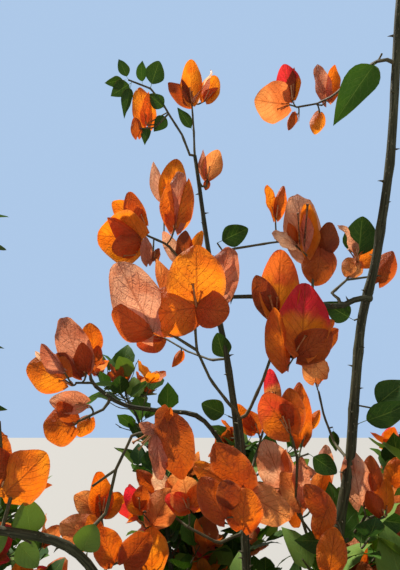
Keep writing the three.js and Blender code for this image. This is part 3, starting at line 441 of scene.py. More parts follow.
# Each spray of the picture: its cane, whether it grows from the tip or the side, its twigs as runs of points,
# blooms and leaves. A bloom is a seat and its bracts, a leaf a foot and a row. A bract's row is its clock
# angle as the eye sees it, length, width, the face that shows, form and tint, and where they aren't 0 its
# lean to the eye, roll, shift right and up, and red flush. A leaf's row is the same, with a number for its
# form and no face or flush.
# In these rows the two darkest bract tints paint shade, the palest tint paints glints, and peach, pink and
# mauve are partly painted light on faces that catch the sun.
sprayTable = {
    "spray_top_left": ("cane_middle", "side", [
        [(-58, -131, 914), (-70, -134, 934), (-78, -136, 949), (-90, -140, 963), (-112, -143, 971)]], [
        ((-93, -130, 926), [(101, 37, 24, "out round amber", 5),
            (88, 31, 12, "out folded amber", 12, 40, 1)]),
        ((-100, -131, 921), [(96, 19, 12, "out round burnt", 0, 0, -2, -8)])], [
        ((-112, -143, 971), (115, 23, 12, "0 dark", 0, 15)),
        ((-114, -143, 971), (188, 22, 12, "1 dark", 10, -20)),
        ((-108, -142, 969), (213, 26, 17, "0 dark", 0, 10)),
        ((-109, -142, 968), (259, 38, 12, "1 dark", 5, 20)),
        ((-98, -141, 966), (90, 23, 12, "2 mid", 10, -25)),
        ((-90, -140, 963), (72, 29, 20, "3 dark")),
        ((-92, -130, 928), (262, 22, 11, "1 dark", 0, 20)),
        ((-72, -134, 936), (231, 22, 14, "0 dark", -10)),
        ((-74, -135, 941), (139, 22, 15, "2 dark", 10, 10))]),
    "spray_top_middle": ("cane_middle", "tip", [[(-46, -135, 914), (-48, -142, 941)]], [
        ((-48, -142, 941), [(91, 44, 21, "in round amber"), (137, 30, 17, "out deep burnt", 4, 0, -1),
            (110, 24, 13, "out folded brown", 14, 20, -1),
            (62, 36, 8, "in curled white", 0, 40, 1, 2)]),
        ((-35, -142, 945), [(66, 27, 20, "in round amber"), (44, 18, 10, "out folded burnt", 6, 40)])], [
        ((-46, -135, 913), (124, 29, 11, "1 dark", 0, 10))]),
    "spray_high": ("cane_middle", "side", [[(-34, -122, 858), (-33, -124, 866)]], [
        ((-33, -124, 867), [(70, 30, 21, "in deep peach"), (98, 28, 8, "out folded mauve", 4, 50),
            (262, 9, 7, "out curled brown", 0, 0, 0, -2)])], []),
    "spray_upper_left": ("cane_middle", "side", [
        [(-35, -127, 766), (-42, -131, 768), (-54, -155, 767), (-66, -160, 780), (-83, -172, 783)]], [
        ((-54, -156, 768), [(116, 26, 12, "in open pink", 0, 10, -4),
            (84, 24, 15, "out deep brown", 6), (66, 24, 10, "in open amber", 0, 0, 6, 2)]),
        ((-60, -167, 791), [(85, 45, 20, "out loose mauve"), (97, 38, 13, "out folded orange", 8, 35),
            (76, 40, 14, "out folded amber", 10, -30, 1)]),
        ((-72, -133, 836), [(80, 40, 25, "in round amber", 0, 0, 4),
            (104, 35, 13, "out folded pink", 0, 20, -2, 3), (60, 22, 14, "out deep burnt", 8, 0, 3)]),
        ((-82, -172, 788), [(142, 31, 20, "in open amber", 0, 0, -2, 2),
            (107, 29, 17, "out round burnt", 10, 0, -5)]),
        ((-87, -169, 768), [(176, 34, 42, "in deep amber", 14, 0, 3, 11),
            (196, 25, 20, "out round burnt", 30, 0, 2, 9),
            (150, 30, 18, "out folded burnt", 24, 30, 2, 12)]),
        ((-75, -174, 762), [(97, 20, 10, "out loose mauve", 0, 10, -4, -4),
            (70, 10, 7, "out curled brown", 0, 20, 1, -2)])], []),
    "spray_far_right": ("cane_middle", "side", [
        [(-27, -121, 782), (-14, -136, 787), (21, -141, 791), (38, -139, 794)]], [
        ((24, -150, 810), [(104, 29, 11, "in open amber", 0, 25),
            (76, 28, 12, "out deep orange", 0, -20)])], [
        ((-22, -130, 785), (25, 30, 20, "3 dark", 0, 5, -3, 10))]),
    "spray_front": ("cane_fork", "tip", [
        [(-20, -165, 657), (-33, -183, 671), (-42, -202, 687), (-43, -214, 699)],
        [(-42, -202, 687), (-56, -212, 694), (-68, -222, 699)]], [
        ((-42, -222, 709), [(91, 37, 36, "out open amber", 3), (190, 37, 32, "out round orange"),
            (-8, 22, 23, "out round burnt", 24, 0, -1)]),
        ((-32, -204, 717), [(72, 38, 24, "out loose mauve", -4),
            (62, 22, 8, "out curled white", 4, 30, 4, 10)]),
        ((-70, -225, 701), [(117, 46, 31, "out round pink", 0, 0, 3, -8),
            (148, 27, 25, "out deep burnt", 8, 0, 3, -8)]),
        ((-58, -206, 712), [(107, 34, 13, "in folded peach", 0, 20)])], []),
    "spray_front_right": ("cane_fork", "side", [
        [(-4, -150, 655), (5, -158, 674), (8, -184, 688), (17, -206, 682)],
        [(8, -184, 688), (7, -196, 707)]], [
        ((18, -211, 684), [(87, 42, 31, "in deep amber", -6, 0, 3, 0, 0.95),
            (101, 40, 16, "out folded orange", 10, 20, -6, -11),
            (36, 26, 21, "out deep burnt", 20, 0, 0, -3),
            (42, 28, 13, "out open orange", -8, 0, 5, -4),
            (-48, 20, 14, "out open peach", -10, 0, 6, -2)]),
        ((8, -204, 709), [(88, 42, 25, "in round amber", 0, 0, 2, 0, 0.4),
            (112, 28, 16, "out open brown", 7, 0, -2)]),
        ((26, -196, 690), [(42, 26, 18, "out open burnt", 4, 30)])], []),
    "spray_right": ("arm_right", "side", [[(41, -182, 740), (40, -185, 757)]], [
        ((39, -186, 757), [(98, 46, 27, "out loose pink", -8, 0, -3, 2),
            (87, 36, 16, "in deep amber", 10, 20, -3, 3)]),
        ((28, -192, 764), [(152, 19, 11, "out loose white", 0, 30),
            (116, 16, 9, "out folded burnt", 4, 20, 2, 2)]),
        ((51, -190, 759), [(86, 22, 17, "out deep brown", 0, 0, -1),
            (262, 27, 25, "out round burnt", -4, 0, -5, 3)])], []),
    "spray_right_edge": ("arm_right", "side", [[(60, -162, 738), (78, -149, 754), (88, -151, 768)],
        [(78, -149, 754), (102, -147, 758)]], [
        ((88, -152, 769), [(117, 33, 9, "in curled pink", 0, 50, -2),
            (228, 17, 18, "out open peach", 6), (40, 19, 15, "in open orange", 8, 0, 2, -3)]),
        ((103, -147, 758), [(66, 28, 19, "out deep burnt", 0, 0, 2, -5)])], [
        ((88, -151, 768), (84, 38, 27, "3 dark"))]),
    "spray_top_right": ("cane_right", "side", [
        [(75, -254, 867), (72, -222, 884), (69, -192, 900), (62, -175, 909), (46, -169, 911)]], [
        ((39, -171, 912), [(172, 34, 35, "out open peach", 22)]),
        ((42, -172, 916), [(104, 33, 22, "in deep amber", 0, 0, 0, 0, 0.9),
            (90, 28, 11, "out folded brown", 6, 40, 2)]),
        ((73, -170, 917), [(104, 34, 15, "out open mauve", 0, -20),
            (80, 32, 14, "in deep orange", 4, 25, 2)]),
        ((66, -169, 905), [(258, 20, 14, "out deep amber")]),
        ((48, -167, 905), [(256, 17, 9, "out folded burnt", 0, 20, -5, 2)])], [
        ((76, -254, 867), (236, 57, 22, "0 mid", 0, 14, 3, 5))]),
    "spray_far_middle": ("cane_middle", "side", [
        [(-30, -98, 698), (-52, -76, 710), (-76, -58, 727)]], [
        ((-77, -58, 728), [(200, 27, 26, "in deep orange", 14, 0, 0, 0, 0.3),
            (160, 20, 14, "out folded burnt", 0, 30)]),
        ((-58, -66, 712), [(240, 18, 10, "out folded orange", 0, 20)])], []),
    "spray_left": ("arm_left", "tip", [[(-118, -160, 676), (-118, -168, 684)],
        [(-116, -158, 672), (-123, -176, 670)]], [
        ((-118, -172, 677), [(112, 39, 23, "out loose mauve", -5, 0, -2, 2),
            (98, 22, 14, "out deep burnt", 10, 10),
            (136, 24, 15, "out folded brown", 12, -20, -3, -3)]),
        ((-117, -164, 688), [(98, 21, 16, "out round orange", 0, 0, 1, 5),
            (80, 14, 9, "out open burnt", 0, 0, 2, -4)]),
        ((-124, -180, 668), [(156, 26, 27, "out round amber", 0, 0, -5, 4),
            (130, 24, 13, "out folded mauve", 12, 35, -5, 9),
            (146, 22, 6, "out curled white", 10, 20, -6, 10)])], []),
    "spray_left_low": ("arm_left", "side", [[(-108, -150, 655), (-125, -156, 646)]], [
        ((-117, -158, 656), [(176, 25, 16, "in open pink", 5, 0, -3, 2)]),
        ((-127, -156, 644), [(178, 22, 28, "out round orange", 0, 0, 0, -1),
            (132, 18, 12, "out open burnt", 8, 0, 0, 2)]),
        ((-118, -152, 648), [(240, 15, 13, "out deep amber")])], []),
    "spray_lower_left": ("cane_low_left", "side", [
        [(-101, -155, 590), (-95, -163, 616), (-84, -170, 638), (-74, -170, 639)],
        [(-95, -163, 616), (-110, -161, 606)]], [
        ((-72, -170, 638), [(-76, 39, 27, "out open burnt", 0, 0, 12, 8),
            (-84, 31, 13, "out open mauve", 8, 10, 3, 2),
            (92, 15, 13, "out curled brown", -4, 20, 9, 4),
            (152, 11, 9, "out curled mauve", 0, 20, 2, 2)]),
        ((-63, -170, 640), [(76, 16, 7, "out folded orange")])], []),
    "spray_left_edge": ("cane_low_left", "side", [
        [(-148, -193, 606), (-153, -200, 620), (-155, -208, 645)]], [
        ((-153, -196, 610), [(45, 36, 30, "out open amber", 0, 0, 0, -6),
            (100, 24, 18, "out deep burnt", 8)]),
        ((-156, -200, 618), [(120, 34, 26, "in open orange")])], [
        ((-147, -190, 599), (97, 25, 18, "3 light", 0, 0, 10, -21)),
        ((-148, -192, 602), (-50, 20, 13, "3 light", 10, 10, 2, -22))]),
    "spray_low_left": ("cane_low_left", "side", [
        [(-104, -128, 552), (-112, -104, 566), (-119, -86, 576)],
        [(-104, -128, 552), (-106, -131, 566)]], [
        ((-120, -82, 578), [(92, 34, 20, "in deep orange", 5), (148, 26, 20, "in open peach"),
            (38, 22, 18, "in open amber")]),
        ((-107, -132, 569), [(160, 29, 22, "out open peach", 5, 0, -2, 2),
            (118, 20, 14, "out folded amber", 0, 20)]),
        ((-96, -132, 556), [(112, 26, 20, "out open orange", 0, 0, -2),
            (52, 26, 20, "in open burnt", 0, 0, 6)])], []),
    "spray_low_middle": ("cane_middle", "side", [
        [(-26, -100, 560), (-50, -104, 572), (-66, -90, 580), (-84, -100, 581)]], [
        ((-86, -104, 583), [(128, 21, 16, "in deep amber", 0, 0, 2, 0, 0.95),
            (84, 20, 14, "out deep burnt", 4), (60, 31, 26, "out round peach", -6, 0, 9, -12)]),
        ((-66, -82, 588), [(134, 32, 15, "out open burnt", 0, 0, -4),
            (116, 30, 16, "out loose white", 6, 25), (150, 26, 12, "out curled white", 8, 30, -4, 4),
            (62, 22, 18, "in open peach", 0, 0, 2, 2)]),
        ((-48, -128, 588), [(100, 24, 24, "in deep peach"),
            (152, 19, 15, "in deep orange", 6, 0, 0, 0, 0.7),
            (62, 20, 16, "out open amber", 0, 0, 2)]),
        ((-78, -96, 540), [(90, 35, 26, "out open amber", 0, 0, 2),
            (122, 28, 15, "out folded burnt", 4, 20, -4)])], []),
    "spray_centre": ("cane_right", "side", [
        [(42, -104, 560), (30, -122, 592), (28, -146, 622), (22, -160, 636)]], [
        ((20, -164, 639), [(126, 32, 27, "in deep orange", 6, 0, 0, 0, 0.4),
            (96, 28, 18, "out open burnt", 0, 0, 3, 2)]),
        ((38, -126, 634), [(92, 46, 19, "out loose orange", 0, 0, -2, -3),
            (62, 16, 8, "out folded amber", 0, 0, 5, 8)]),
        ((33, -124, 589), [(90, 36, 14, "out open pink"), (118, 28, 18, "in loose peach")])], [
        ((28, -146, 622), (-35, 24, 15, "3 dark", 0, 10, 8, 3))]),
    "spray_centre_left": ("cane_middle", "side", [[(2, -92, 610), (10, -84, 628), (16, -98, 650)]], [
        ((11, -77, 638), [(125, 30, 16, "in open orange", 0, 0, -6, 2),
            (110, 22, 18, "out open burnt", 8, 0, -2)]),
        ((21, -108, 661), [(98, 29, 14, "in open peach", 0, 0, 0, 0, 0.9)])], []),
    "spray_low_centre": ("cane_fork", "side", [[(-4, -134, 585), (-12, -162, 590)]], [
        ((-8, -152, 600), [(124, 41, 27, "out open burnt"),
            (150, 36, 18, "out open amber", 0, 20, -6, 2), (-30, 33, 24, "out open peach")]),
        ((-15, -178, 592), [(116, 19, 16, "out round brown", 8, 0, -4, 5),
            (84, 24, 24, "out round orange", -6, 0, 0, -8),
            (120, 28, 20, "out open burnt", -8, 0, -10, -2)])], []),
    "spray_centre_right": ("cane_right", "side", [[(72, -92, 630), (66, -90, 652), (63, -92, 672)]], [
        ((62, -92, 676), [(108, 24, 16, "in curled peach", 0, 0, -2, 4),
            (62, 18, 12, "out deep orange", 0, 0, 0, 6)])], [
        ((70, -91, 640), (-82, 21, 9, "1 dark", 0, 10, 2, 3))]),
    "spray_low_right": ("cane_right", "side", [[(80, -86, 562), (100, -72, 572), (118, -62, 574)],
        [(80, -86, 562), (84, -110, 580)]], [
        ((84, -108, 586), [(101, 43, 23, "out loose pink", 0, 0, -2, 1),
            (93, 39, 18, "out open burnt", 0, 0, 7)]),
        ((98, -112, 580), [(88, 22, 11, "in open amber", 0, 0, 0, 6),
            (120, 22, 14, "out deep burnt", 0, 0, -3)]),
        ((122, -59, 575), [(82, 24, 16, "out loose orange", 0, 0, 4, 22),
            (24, 24, 16, "in open peach")])], [
        ((100, -74, 572), (-8, 34, 18, "1 dark", 0, 20))]),
    "spray_low_front": ("cane_right", "side", [[(58, -112, 556), (53, -132, 563), (50, -144, 570)]], [
        ((50, -150, 584), [(250, 23, 15, "out open orange", 0, 0, -6, 10),
            (128, 27, 17, "out open burnt", -6, 0, -4, 2)]),
        ((44, -152, 556), [(82, 29, 19, "out open orange", 0, 0, -3)])], [
        ((48, -134, 569), (178, 24, 14, "1 dark", 0, -15))]),
    "spray_low_back": ("cane_right", "side", [[(58, -76, 552), (42, -68, 574)]], [
        ((56, -66, 579), [(80, 34, 20, "out deep amber", 0, 0, 4),
            (86, 34, 16, "out loose pink", -6, 0, 9, 18)]),
        ((31, -74, 594), [(112, 45, 31, "out loose pink"),
            (94, 36, 12, "out folded peach", 10, 35, 4), (236, 34, 34, "out open peach"),
            (283, 34, 18, "out open burnt", -6, 0, 4, -2)])], []),
}
# Leaves straight on the canes: the cane, the share of its length and the leaf's row
caneLeaves = [
    ("cane_right", 0.677, (150, 28, 17, "0 dark", 5, 0, -5, 4)),
    ("cane_right", 0.6, (22, 42, 19, "2 dark", 12, 15, 4, 2)),
    ("cane_right", 0.61, (38, 34, 22, "0 dark", 0, -10, 14, 4)),
    ("cane_middle", 0.757, (106, 25, 17, "3 dark", 0, 10, -2)),
    ("cane_middle", 0.7, (155, 24, 17, "3 dark", 0, 0, -6, 3)),
    ("cane_low_left", 0.835, (66, 22, 17, "3 light", 5)),
    ("cane_low_left", 0.9, (200, 22, 16, "3 light")),
    ("cane_low_left", 0.78, (30, 24, 16, "0 mid", 0, 10)),
    ("cane_right", 0.9, (20, 34, 20, "0 mid", 0, 30)),
    ("cane_right", 0.925, (160, 30, 18, "1 dark", 0, 30)),
    ("cane_right", 0.95, (60, 32, 19, "2 mid", 20, 30)),
    ("cane_right", 0.97, (120, 28, 16, "0 light", -20, 30)),
    ("cane_right", 0.985, (10, 24, 13, "1 light", 0, 30)),
]
# The rest of the foliage: where it leaves its cane, its bearing, rise, reach and number of blooms
crownTable = {
    "foliage_tall_left_tip": ("cane_tall_left", 1, 170, 48, 120, 3),
    "foliage_tall_left_side": ("cane_tall_left", 0.8, 230, 25, 115, 2),
    "foliage_tall_left_foot": ("cane_tall_left", 0.56, 140, 15, 130, 1),
    "foliage_tall_right_tip": ("cane_tall_right", 1, 20, 50, 120, 3),
    "foliage_tall_right_side": ("cane_tall_right", 0.79, 300, 22, 110, 2),
    "foliage_tall_right_foot": ("cane_tall_right", 0.55, 55, 15, 130, 1),
    "foliage_back_left_tip": ("cane_back_left", 1, 120, 20, 110, 3),
    "foliage_back_left_side": ("cane_back_left", 0.68, 70, 20, 130, 2),
    "foliage_back_tip": ("cane_back", 1, 85, 10, 115, 3),
    "foliage_back_side": ("cane_back", 0.66, 130, 20, 125, 1),
    "foliage_back_right_tip": ("cane_back_right", 1, 35, 12, 115, 3),
    "foliage_low_back_left": ("cane_low_back_left", 1, 160, 12, 120, 3),
    "foliage_low_side_left": ("cane_low_side_left", 1, 200, 10, 120, 3),
    "foliage_low_side_right": ("cane_low_side_right", 1, 345, 10, 120, 3),
    "foliage_low_front": ("cane_low_front", 1, 255, 8, 110, 3),
    "foliage_low_front_right": ("cane_low_front_right", 1, 305, 8, 115, 3),
    "foliage_right_foot": ("cane_right", 0.4, 10, 20, 130, 2),
    "foliage_middle_foot": ("cane_middle", 0.36, 282, 12, 115, 2),
    "foliage_left_foot": ("cane_low_left", 0.5, 190, 25, 130, 2),
}


def lerp(first, second, share):
    return first + (second - first) * share


def makeDice(seed):
    state = 7919 * (seed + 1)

    def roll():
        nonlocal state
        state = (state * 16807) % 2147483647
        return state / 2147483647
    return roll


def vary(limits, dice):
    return limits[0] + limits[1] * dice()


def pick(choices, dice):
    return choices[int(dice() * len(choices)) % len(choices)]


def heading(bearing, rise):
    around, lift = math.radians(bearing), math.radians(rise)
    return Vector((math.cos(around) * math.cos(lift), math.sin(around) * math.cos(lift), math.sin(lift)))


def across(direction, towards):
    side = towards - direction * towards.dot(direction)
    if side.length < 0.05:
        side = Vector((1, 0, 0)) - direction * direction.x
    return side.normalized()


def turned(vector, axis, angle):
    return Quaternion(axis, angle) @ vector


def splinePoint(controls, share):
    last = len(controls) - 1
    index = min(int(last * share), last - 1)
    weight = last * share - index
    p1, p2 = controls[index], controls[index + 1]
    p0 = controls[index - 1] if index else p1 * 2 - p2
    p3 = controls[index + 2] if index + 2 <= last else p2 * 2 - p1
    d1 = max((p2 - p1).length ** 0.5, 1e-4)
    d0, d2 = ((p1 - p0).length ** 0.5 or d1), ((p3 - p2).length ** 0.5 or d1)
    t1 = ((p1 - p0) / d0 - (p2 - p0) / (d0 + d1) + (p2 - p1) / d1) * d1
    t2 = ((p2 - p1) / d1 - (p3 - p1) / (d1 + d2) + (p3 - p2) / d2) * d1
    square = (p2 - p1) * 3 - t1 * 2 - t2
    cube = (p1 - p2) * 2 + t1 + t2
    return p1 + t1 * weight + square * weight ** 2 + cube * weight ** 3


# A path's even places, at(share of its length), and its length
def smoothPath(controls, pieces=200):
    marks = [splinePoint(controls, i / pieces) for i in range(pieces + 1)]
    sums = [0.0]
    for before, mark in zip(marks, marks[1:]):
        sums.append(sums[-1] + (mark - before).length)

    def at(share):
        goal, low, high = share * sums[-1], 0, pieces
        while high - low > 1:
            i = (low + high) // 2
            low, high = (i, high) if sums[i] <= goal else (low, i)
        gap = sums[high] - sums[low]
        return splinePoint(controls, (low + ((goal - sums[low]) / gap if gap else 0)) / pieces)
    return at, sums[-1]


def tangentAt(at, share, reach=0.01):
    return (at(min(1, share + reach)) - at(max(0, share - reach))).normalized()


def trunkCentre(height):
    share = max(0.0, height / trunkForm["height"]) ** trunkForm["leanPower"]
    return Vector((trunkForm["leanX"] * share, trunkForm["leanY"] * share, height))


def trunkRadius(height):
    taper = lerp(trunkForm["footRadius"], trunkForm["topRadius"], height / trunkForm["height"])
    flare = max(0.0, 1 - height / trunkForm["flareHeight"]) ** 2
    return taper + (trunkForm["flareRadius"] - trunkForm["footRadius"]) * flare


def pointAlong(limb, along):
    points, radii = limb["points"], limb["radii"]
    lengths = [(b - a).length for a, b in zip(points, points[1:])]
    rest, i = along * sum(lengths), 0
    while i < len(lengths) - 1 and rest > lengths[i]:
        rest -= lengths[i]
        i += 1
    share, tangent = min(1.0, rest / lengths[i]), (points[i + 1] - points[i]).normalized()
    return points[i].lerp(points[i + 1], share), tangent, lerp(radii[i], radii[i + 1], share)


def startOn(limb, along, towards):
    point, tangent, radius = pointAlong(limb, along)
    square = across(tangent, towards)
    return point + square * (radius + twigForm["seatGap"]), square


def footOf(on, place, towards):
    if on != "trunk":
        return startOn(limbs[on], place[0], towards - pointAlong(limbs[on], place[0])[0])
    if not place:
        return trunkCentre(trunkForm["height"]) + upward * twigForm["seatGap"], upward.copy()
    height, square = place[0], heading(place[1], 0)
    return trunkCentre(height) + square * (trunkRadius(height) + twigForm["seatGap"]), square


def archPath(start, bearing, reach, height, sway):
    away, aside = heading(bearing, 0), heading(bearing + 90, 0)
    path = []
    for share in archForm["shares"]:
        out = lerp(start.dot(away), reach, share ** archForm["outPower"])
        rise = lerp(start.z, height, 1 - (1 - share) ** archForm["risePower"])
        point = away * out + aside * (sway * math.sin(2 * math.pi * share))
        path.append(Vector((point.x, point.y, rise)))
    return path


def makeLimb(foot, thick, thin, path):
    arched = isinstance(path, tuple)
    firstAim = heading(path[0], archForm["firstRise"]) if arched else Vector(path[0])
    point, square = footOf(foot[0], foot[1:], firstAim)
    knee = point + square * thick * caneForm["kneeReach"]
    at, length = smoothPath([point, knee, *(archPath(knee, *path) if arched else map(Vector, path))])
    steps = max(caneForm["fewestSteps"], round(length / caneForm["stepLength"]))
    points = [point, knee] + [at(lerp(caneForm["kneeShare"], 1, i / steps)) for i in range(1, steps + 1)]
    radii = [lerp(thick, thin, i / (len(points) - 1)) for i in range(len(points))]
    return {"points": points, "radii": radii, "at": at, "length": length, "square": square, "thick": thick,
            "thin": thin}


def sideStart(limb, share, towards):
    point, square = startOn(limb, share, towards)
    return [point, point + square * twigForm["squareLength"]]


def tipStart(limb):
    point, tangent, radius = pointAlong(limb, 1)
    start = point + tangent * twigForm["seatGap"]
    return [start, start + tangent * twigForm["squareLength"]]


def ruleLeaf(leaves, base, aim, dice):
    length = rule["leafLength"] * vary(rule["leafSpread"], dice)
    droop = (aim.normalized() + upward * rule["leafDroop"] * (1 - 2 * dice())).normalized()
    leaves.append((base.copy(), base + droop * length, rule["leafTurn"] * (dice() - 0.5)))


def ruleBloom(blooms, seat, aim, dice):
    size = rule["bloomSize"] * vary(rule["bloomSpread"], dice)
    lean = (aim.normalized() + upward * rule["bloomRise"]).normalized()
    main = (across(lean, heading(360 * dice(), 0)) * math.tan(rule["bloomOpen"]) + lean).normalized()
    start = seat + lean * rule["stalk"]
    blooms.append((start, start + main * size, 360 * dice()))


def crownSpray(spec, seed):
    on, along, bearing, rise, reach, bloomCount = spec
    dice, limb, aim = makeDice(seed), limbs[on], heading(bearing, rise)
    stem = tipStart(limb) if along == 1 else sideStart(limb, along, aim)
    runs, blooms, leaves = [stem], [], []
    step, around = reach / rule["nodes"], 360 * dice()
    for node in range(1, rule["nodes"] + 1):
        shake = Vector((dice() - 0.5, dice() - 0.5, dice() - 0.5))
        aim = (aim + shake * rule["wander"]).normalized()
        place = stem[-1] + aim * step
        stem.append(place)
        around += rule["turn"]
        side = across(aim, heading(around, 0))
        if node == rule["nodes"]:
            ruleBloom(blooms, place, aim, dice)
            continue
        if node > 1:
            base = place - aim * rule["stemLeafAt"] * step
            ruleLeaf(leaves, base, aim * rule["stemLeafForward"] - side, dice)
        branchAim = (side + aim * rule["sideForward"] + upward * rule["sideRise"]).normalized()
        end = place + branchAim * (reach * rule["sideLength"] * vary(rule["sideSpread"], dice))
        runs.append([place.copy(), end])
        flat = across(branchAim, side.cross(aim)) * (1 if node % 2 else -1)
        base = place.lerp(end, rule["sideLeafAt"])
        ruleLeaf(leaves, base, flat + branchAim * rule["sideLeafForward"], dice)
        if node > rule["nodes"] - bloomCount:
            ruleBloom(blooms, end, branchAim, dice)
        else:
            ruleLeaf(leaves, end.lerp(place, rule["endLeafAt"]), branchAim - flat * rule["endLeafSide"], dice)
    return on, runs, blooms, leaves


# A bloom's axis and its three bracts' aims and insides
def flowerOf(seat, tip, turn):
    main, lean, third = (tip - seat).normalized(), math.radians(rule["bractLean"]), 2 * math.pi / 3
    facing = turned(across(main, frontward), main, math.radians(turn))
    axis = main * math.cos(lean) + facing * math.sin(lean)
    return axis, [(turned(main, axis, third * k), turned(facing, axis, third * k)) for k in range(3)]


def nearestOnLimb(limb, place):
    return min((limb["at"](i / 60) for i in range(61)), key=lambda spot: (spot - place).length)


def nearestOnRuns(runs, place):
    spots = []
    for run in runs:
        for a, b in zip(run, run[1:]):
            share = (place - a).dot(b - a) / max((b - a).length_squared, 1e-9)
            spots.append(a + (b - a) * max(0.0, min(1.0, share)))
    return min(spots, key=lambda spot: (spot - place).length)


# A spray's runs of twig, the first from the limb that carries it
def sprayRuns(on, start, twigs):
    limb, runs, places = limbs[on], [[Vector(p) for p in run] for run in twigs], twigForm["places"]
    if start == "tip":
        runs[0][:0] = tipStart(limb)
    else:
        shares = (i / places for i in range(places + 1))
        share = min(shares, key=lambda s: (pointAlong(limb, s)[0] - runs[0][0]).length)
        runs[0][:0] = sideStart(limb, share, runs[0][0] - pointAlong(limb, share)[0])
    runs[0].insert(0, nearestOnLimb(limb, runs[0][0]))
    return runs


limbs = {}
for caneName, caneSpec in caneTable.items():
    limbs[caneName] = makeLimb(*caneSpec)
crownSprays = [crownSpray(spec, seed) for seed, spec in enumerate(crownTable.values())]
print("rule grown:", len(limbs), "canes,", len(sprayTable), "front sprays,", len(crownSprays), "crown masses")


def namedValue(graph, name, kind):
    return graph.node("GeometryNodeInputNamedAttribute", name, data_type=kind)["Attribute"]


def storeNamed(graph, geometry, name, kind, value):
    named = {"Geometry": geometry, "Name": name, "Value": value}
    stored = graph.node("GeometryNodeStoreNamedAttribute", named=named, data_type=kind, domain="POINT")
    return stored["Geometry"]


def geometryTree(name, inputs):
    tree = bpy.data.node_groups.new(name, "GeometryNodeTree")
    sockets = {}
    for label, kind in {"Geometry": "Geometry", **inputs}.items():
        socket = tree.interface.new_socket(name=label, in_out="INPUT", socket_type="NodeSocket" + kind)
        sockets[label] = socket.identifier
    tree.interface.new_socket(name="Geometry", in_out="OUTPUT", socket_type="NodeSocketGeometry")
    return Graph(tree), sockets, tree.nodes.new("NodeGroupInput").outputs


def finishTree(graph, geometry, material):
    finished = graph.node("GeometryNodeSetMaterial", named={"Geometry": geometry, "Material": material})[0]
    graph.node("NodeGroupOutput", finished)


# A skin round each path, with the bark's place on it and a little relief
def makeSkinTree():
    graph, sockets, given = geometryTree(
        "limbSkin", {"Sides": "Int", "Relief": "Float", "Relief scale": "Float", "Material": "Material"})
    path = graph.node("GeometryNodeMeshToCurve", given["Geometry"])["Curve"]
    length = graph.node("GeometryNodeSplineParameter")["Length"]
    circle = {"Resolution": given["Sides"], "Radius": 1.0}
    ring = graph.node("GeometryNodeCurvePrimitiveCircle", named=circle)["Curve"]
    spot = graph.node("GeometryNodeInputPosition")[0]
    skin = graph.node("GeometryNodeCurveToMesh", named={
        "Curve": storeNamed(graph, path, "alongPlace", "FLOAT", length),
        "Profile Curve": storeNamed(graph, ring, "roundPlace", "FLOAT_VECTOR", spot),
        "Scale": namedValue(graph, "limbRadius", "FLOAT"), "Fill Caps": True})["Mesh"]
    along = graph.node("ShaderNodeCombineXYZ", None, None, namedValue(graph, "alongPlace", "FLOAT"))[0]
    around, narrow = namedValue(graph, "roundPlace", "FLOAT_VECTOR"), (0.005, 0.005, 0.0)
    place = graph.node("ShaderNodeVectorMath", around, narrow, along, operation="MULTIPLY_ADD")[0]
    placed = storeNamed(graph, skin, "barkPlace", "FLOAT_VECTOR", place)
    rough = graph.noise(namedValue(graph, "barkPlace", "FLOAT_VECTOR"), given["Relief scale"], 2.0)
    depth = graph.times(graph.less(rough, 0.5), given["Relief"])
    normal = graph.node("GeometryNodeInputNormal")[0]
    lift = graph.node("ShaderNodeVectorMath", normal, named={"Scale": depth}, operation="SCALE")[0]
    moved = graph.node("GeometryNodeSetPosition", named={"Geometry": placed, "Offset": lift})[0]
    finishTree(graph, moved, given["Material"])
    return graph.tree, sockets


# A blade at each point, of the shape, turn and size that the point carries
def makeScatterTree():
    graph, sockets, given = geometryTree(
        "scatterBlades", {"Shapes": "Collection", "Size": "Float", "Material": "Material"})
    shapes = graph.node("GeometryNodeCollectionInfo", named={
        "Collection": given["Shapes"], "Separate Children": True, "Reset Children": True})[0]
    blades = graph.node("GeometryNodeInstanceOnPoints", named={
        "Points": given["Geometry"], "Instance": shapes, "Pick Instance": True,
        "Instance Index": namedValue(graph, "shape", "INT"),
        "Rotation": graph.node("FunctionNodeEulerToRotation", namedValue(graph, "turn", "FLOAT_VECTOR"))[0],
        "Scale": graph.node("ShaderNodeVectorMath", namedValue(graph, "stretch", "FLOAT_VECTOR"),
                            named={"Scale": given["Size"]}, operation="SCALE")[0]})[0]
    finishTree(graph, graph.node("GeometryNodeRealizeInstances", blades)[0], given["Material"])
    return graph.tree, sockets


trees = {"skin": makeSkinTree(), "scatter": makeScatterTree()}


def setPoints(mesh, name, kind, values):
    field = {"FLOAT_VECTOR": "vector", "FLOAT_COLOR": "color"}.get(kind, "value")
    mesh.attributes.new(name, kind, "POINT").data.foreach_set(field, values)


# A tree's result on a mesh of points or paths, as a plain mesh
def grown(name, mesh, kind, **values):
    host, (tree, sockets) = linkObject(name, mesh), trees[kind]
    modifier = host.modifiers.new(kind, "NODES")
    modifier.node_group = tree
    for label, value in values.items():
        modifier[sockets[label.replace("_", " ")]] = value
    bpy.context.view_layer.update()
    state = bpy.context.evaluated_depsgraph_get()
    host.data = bpy.data.meshes.new_from_object(
        host.evaluated_get(state), preserve_all_data_layers=True, depsgraph=state)
    host.data.name = name
    host.modifiers.clear()
    bpy.data.meshes.remove(mesh)
    return host


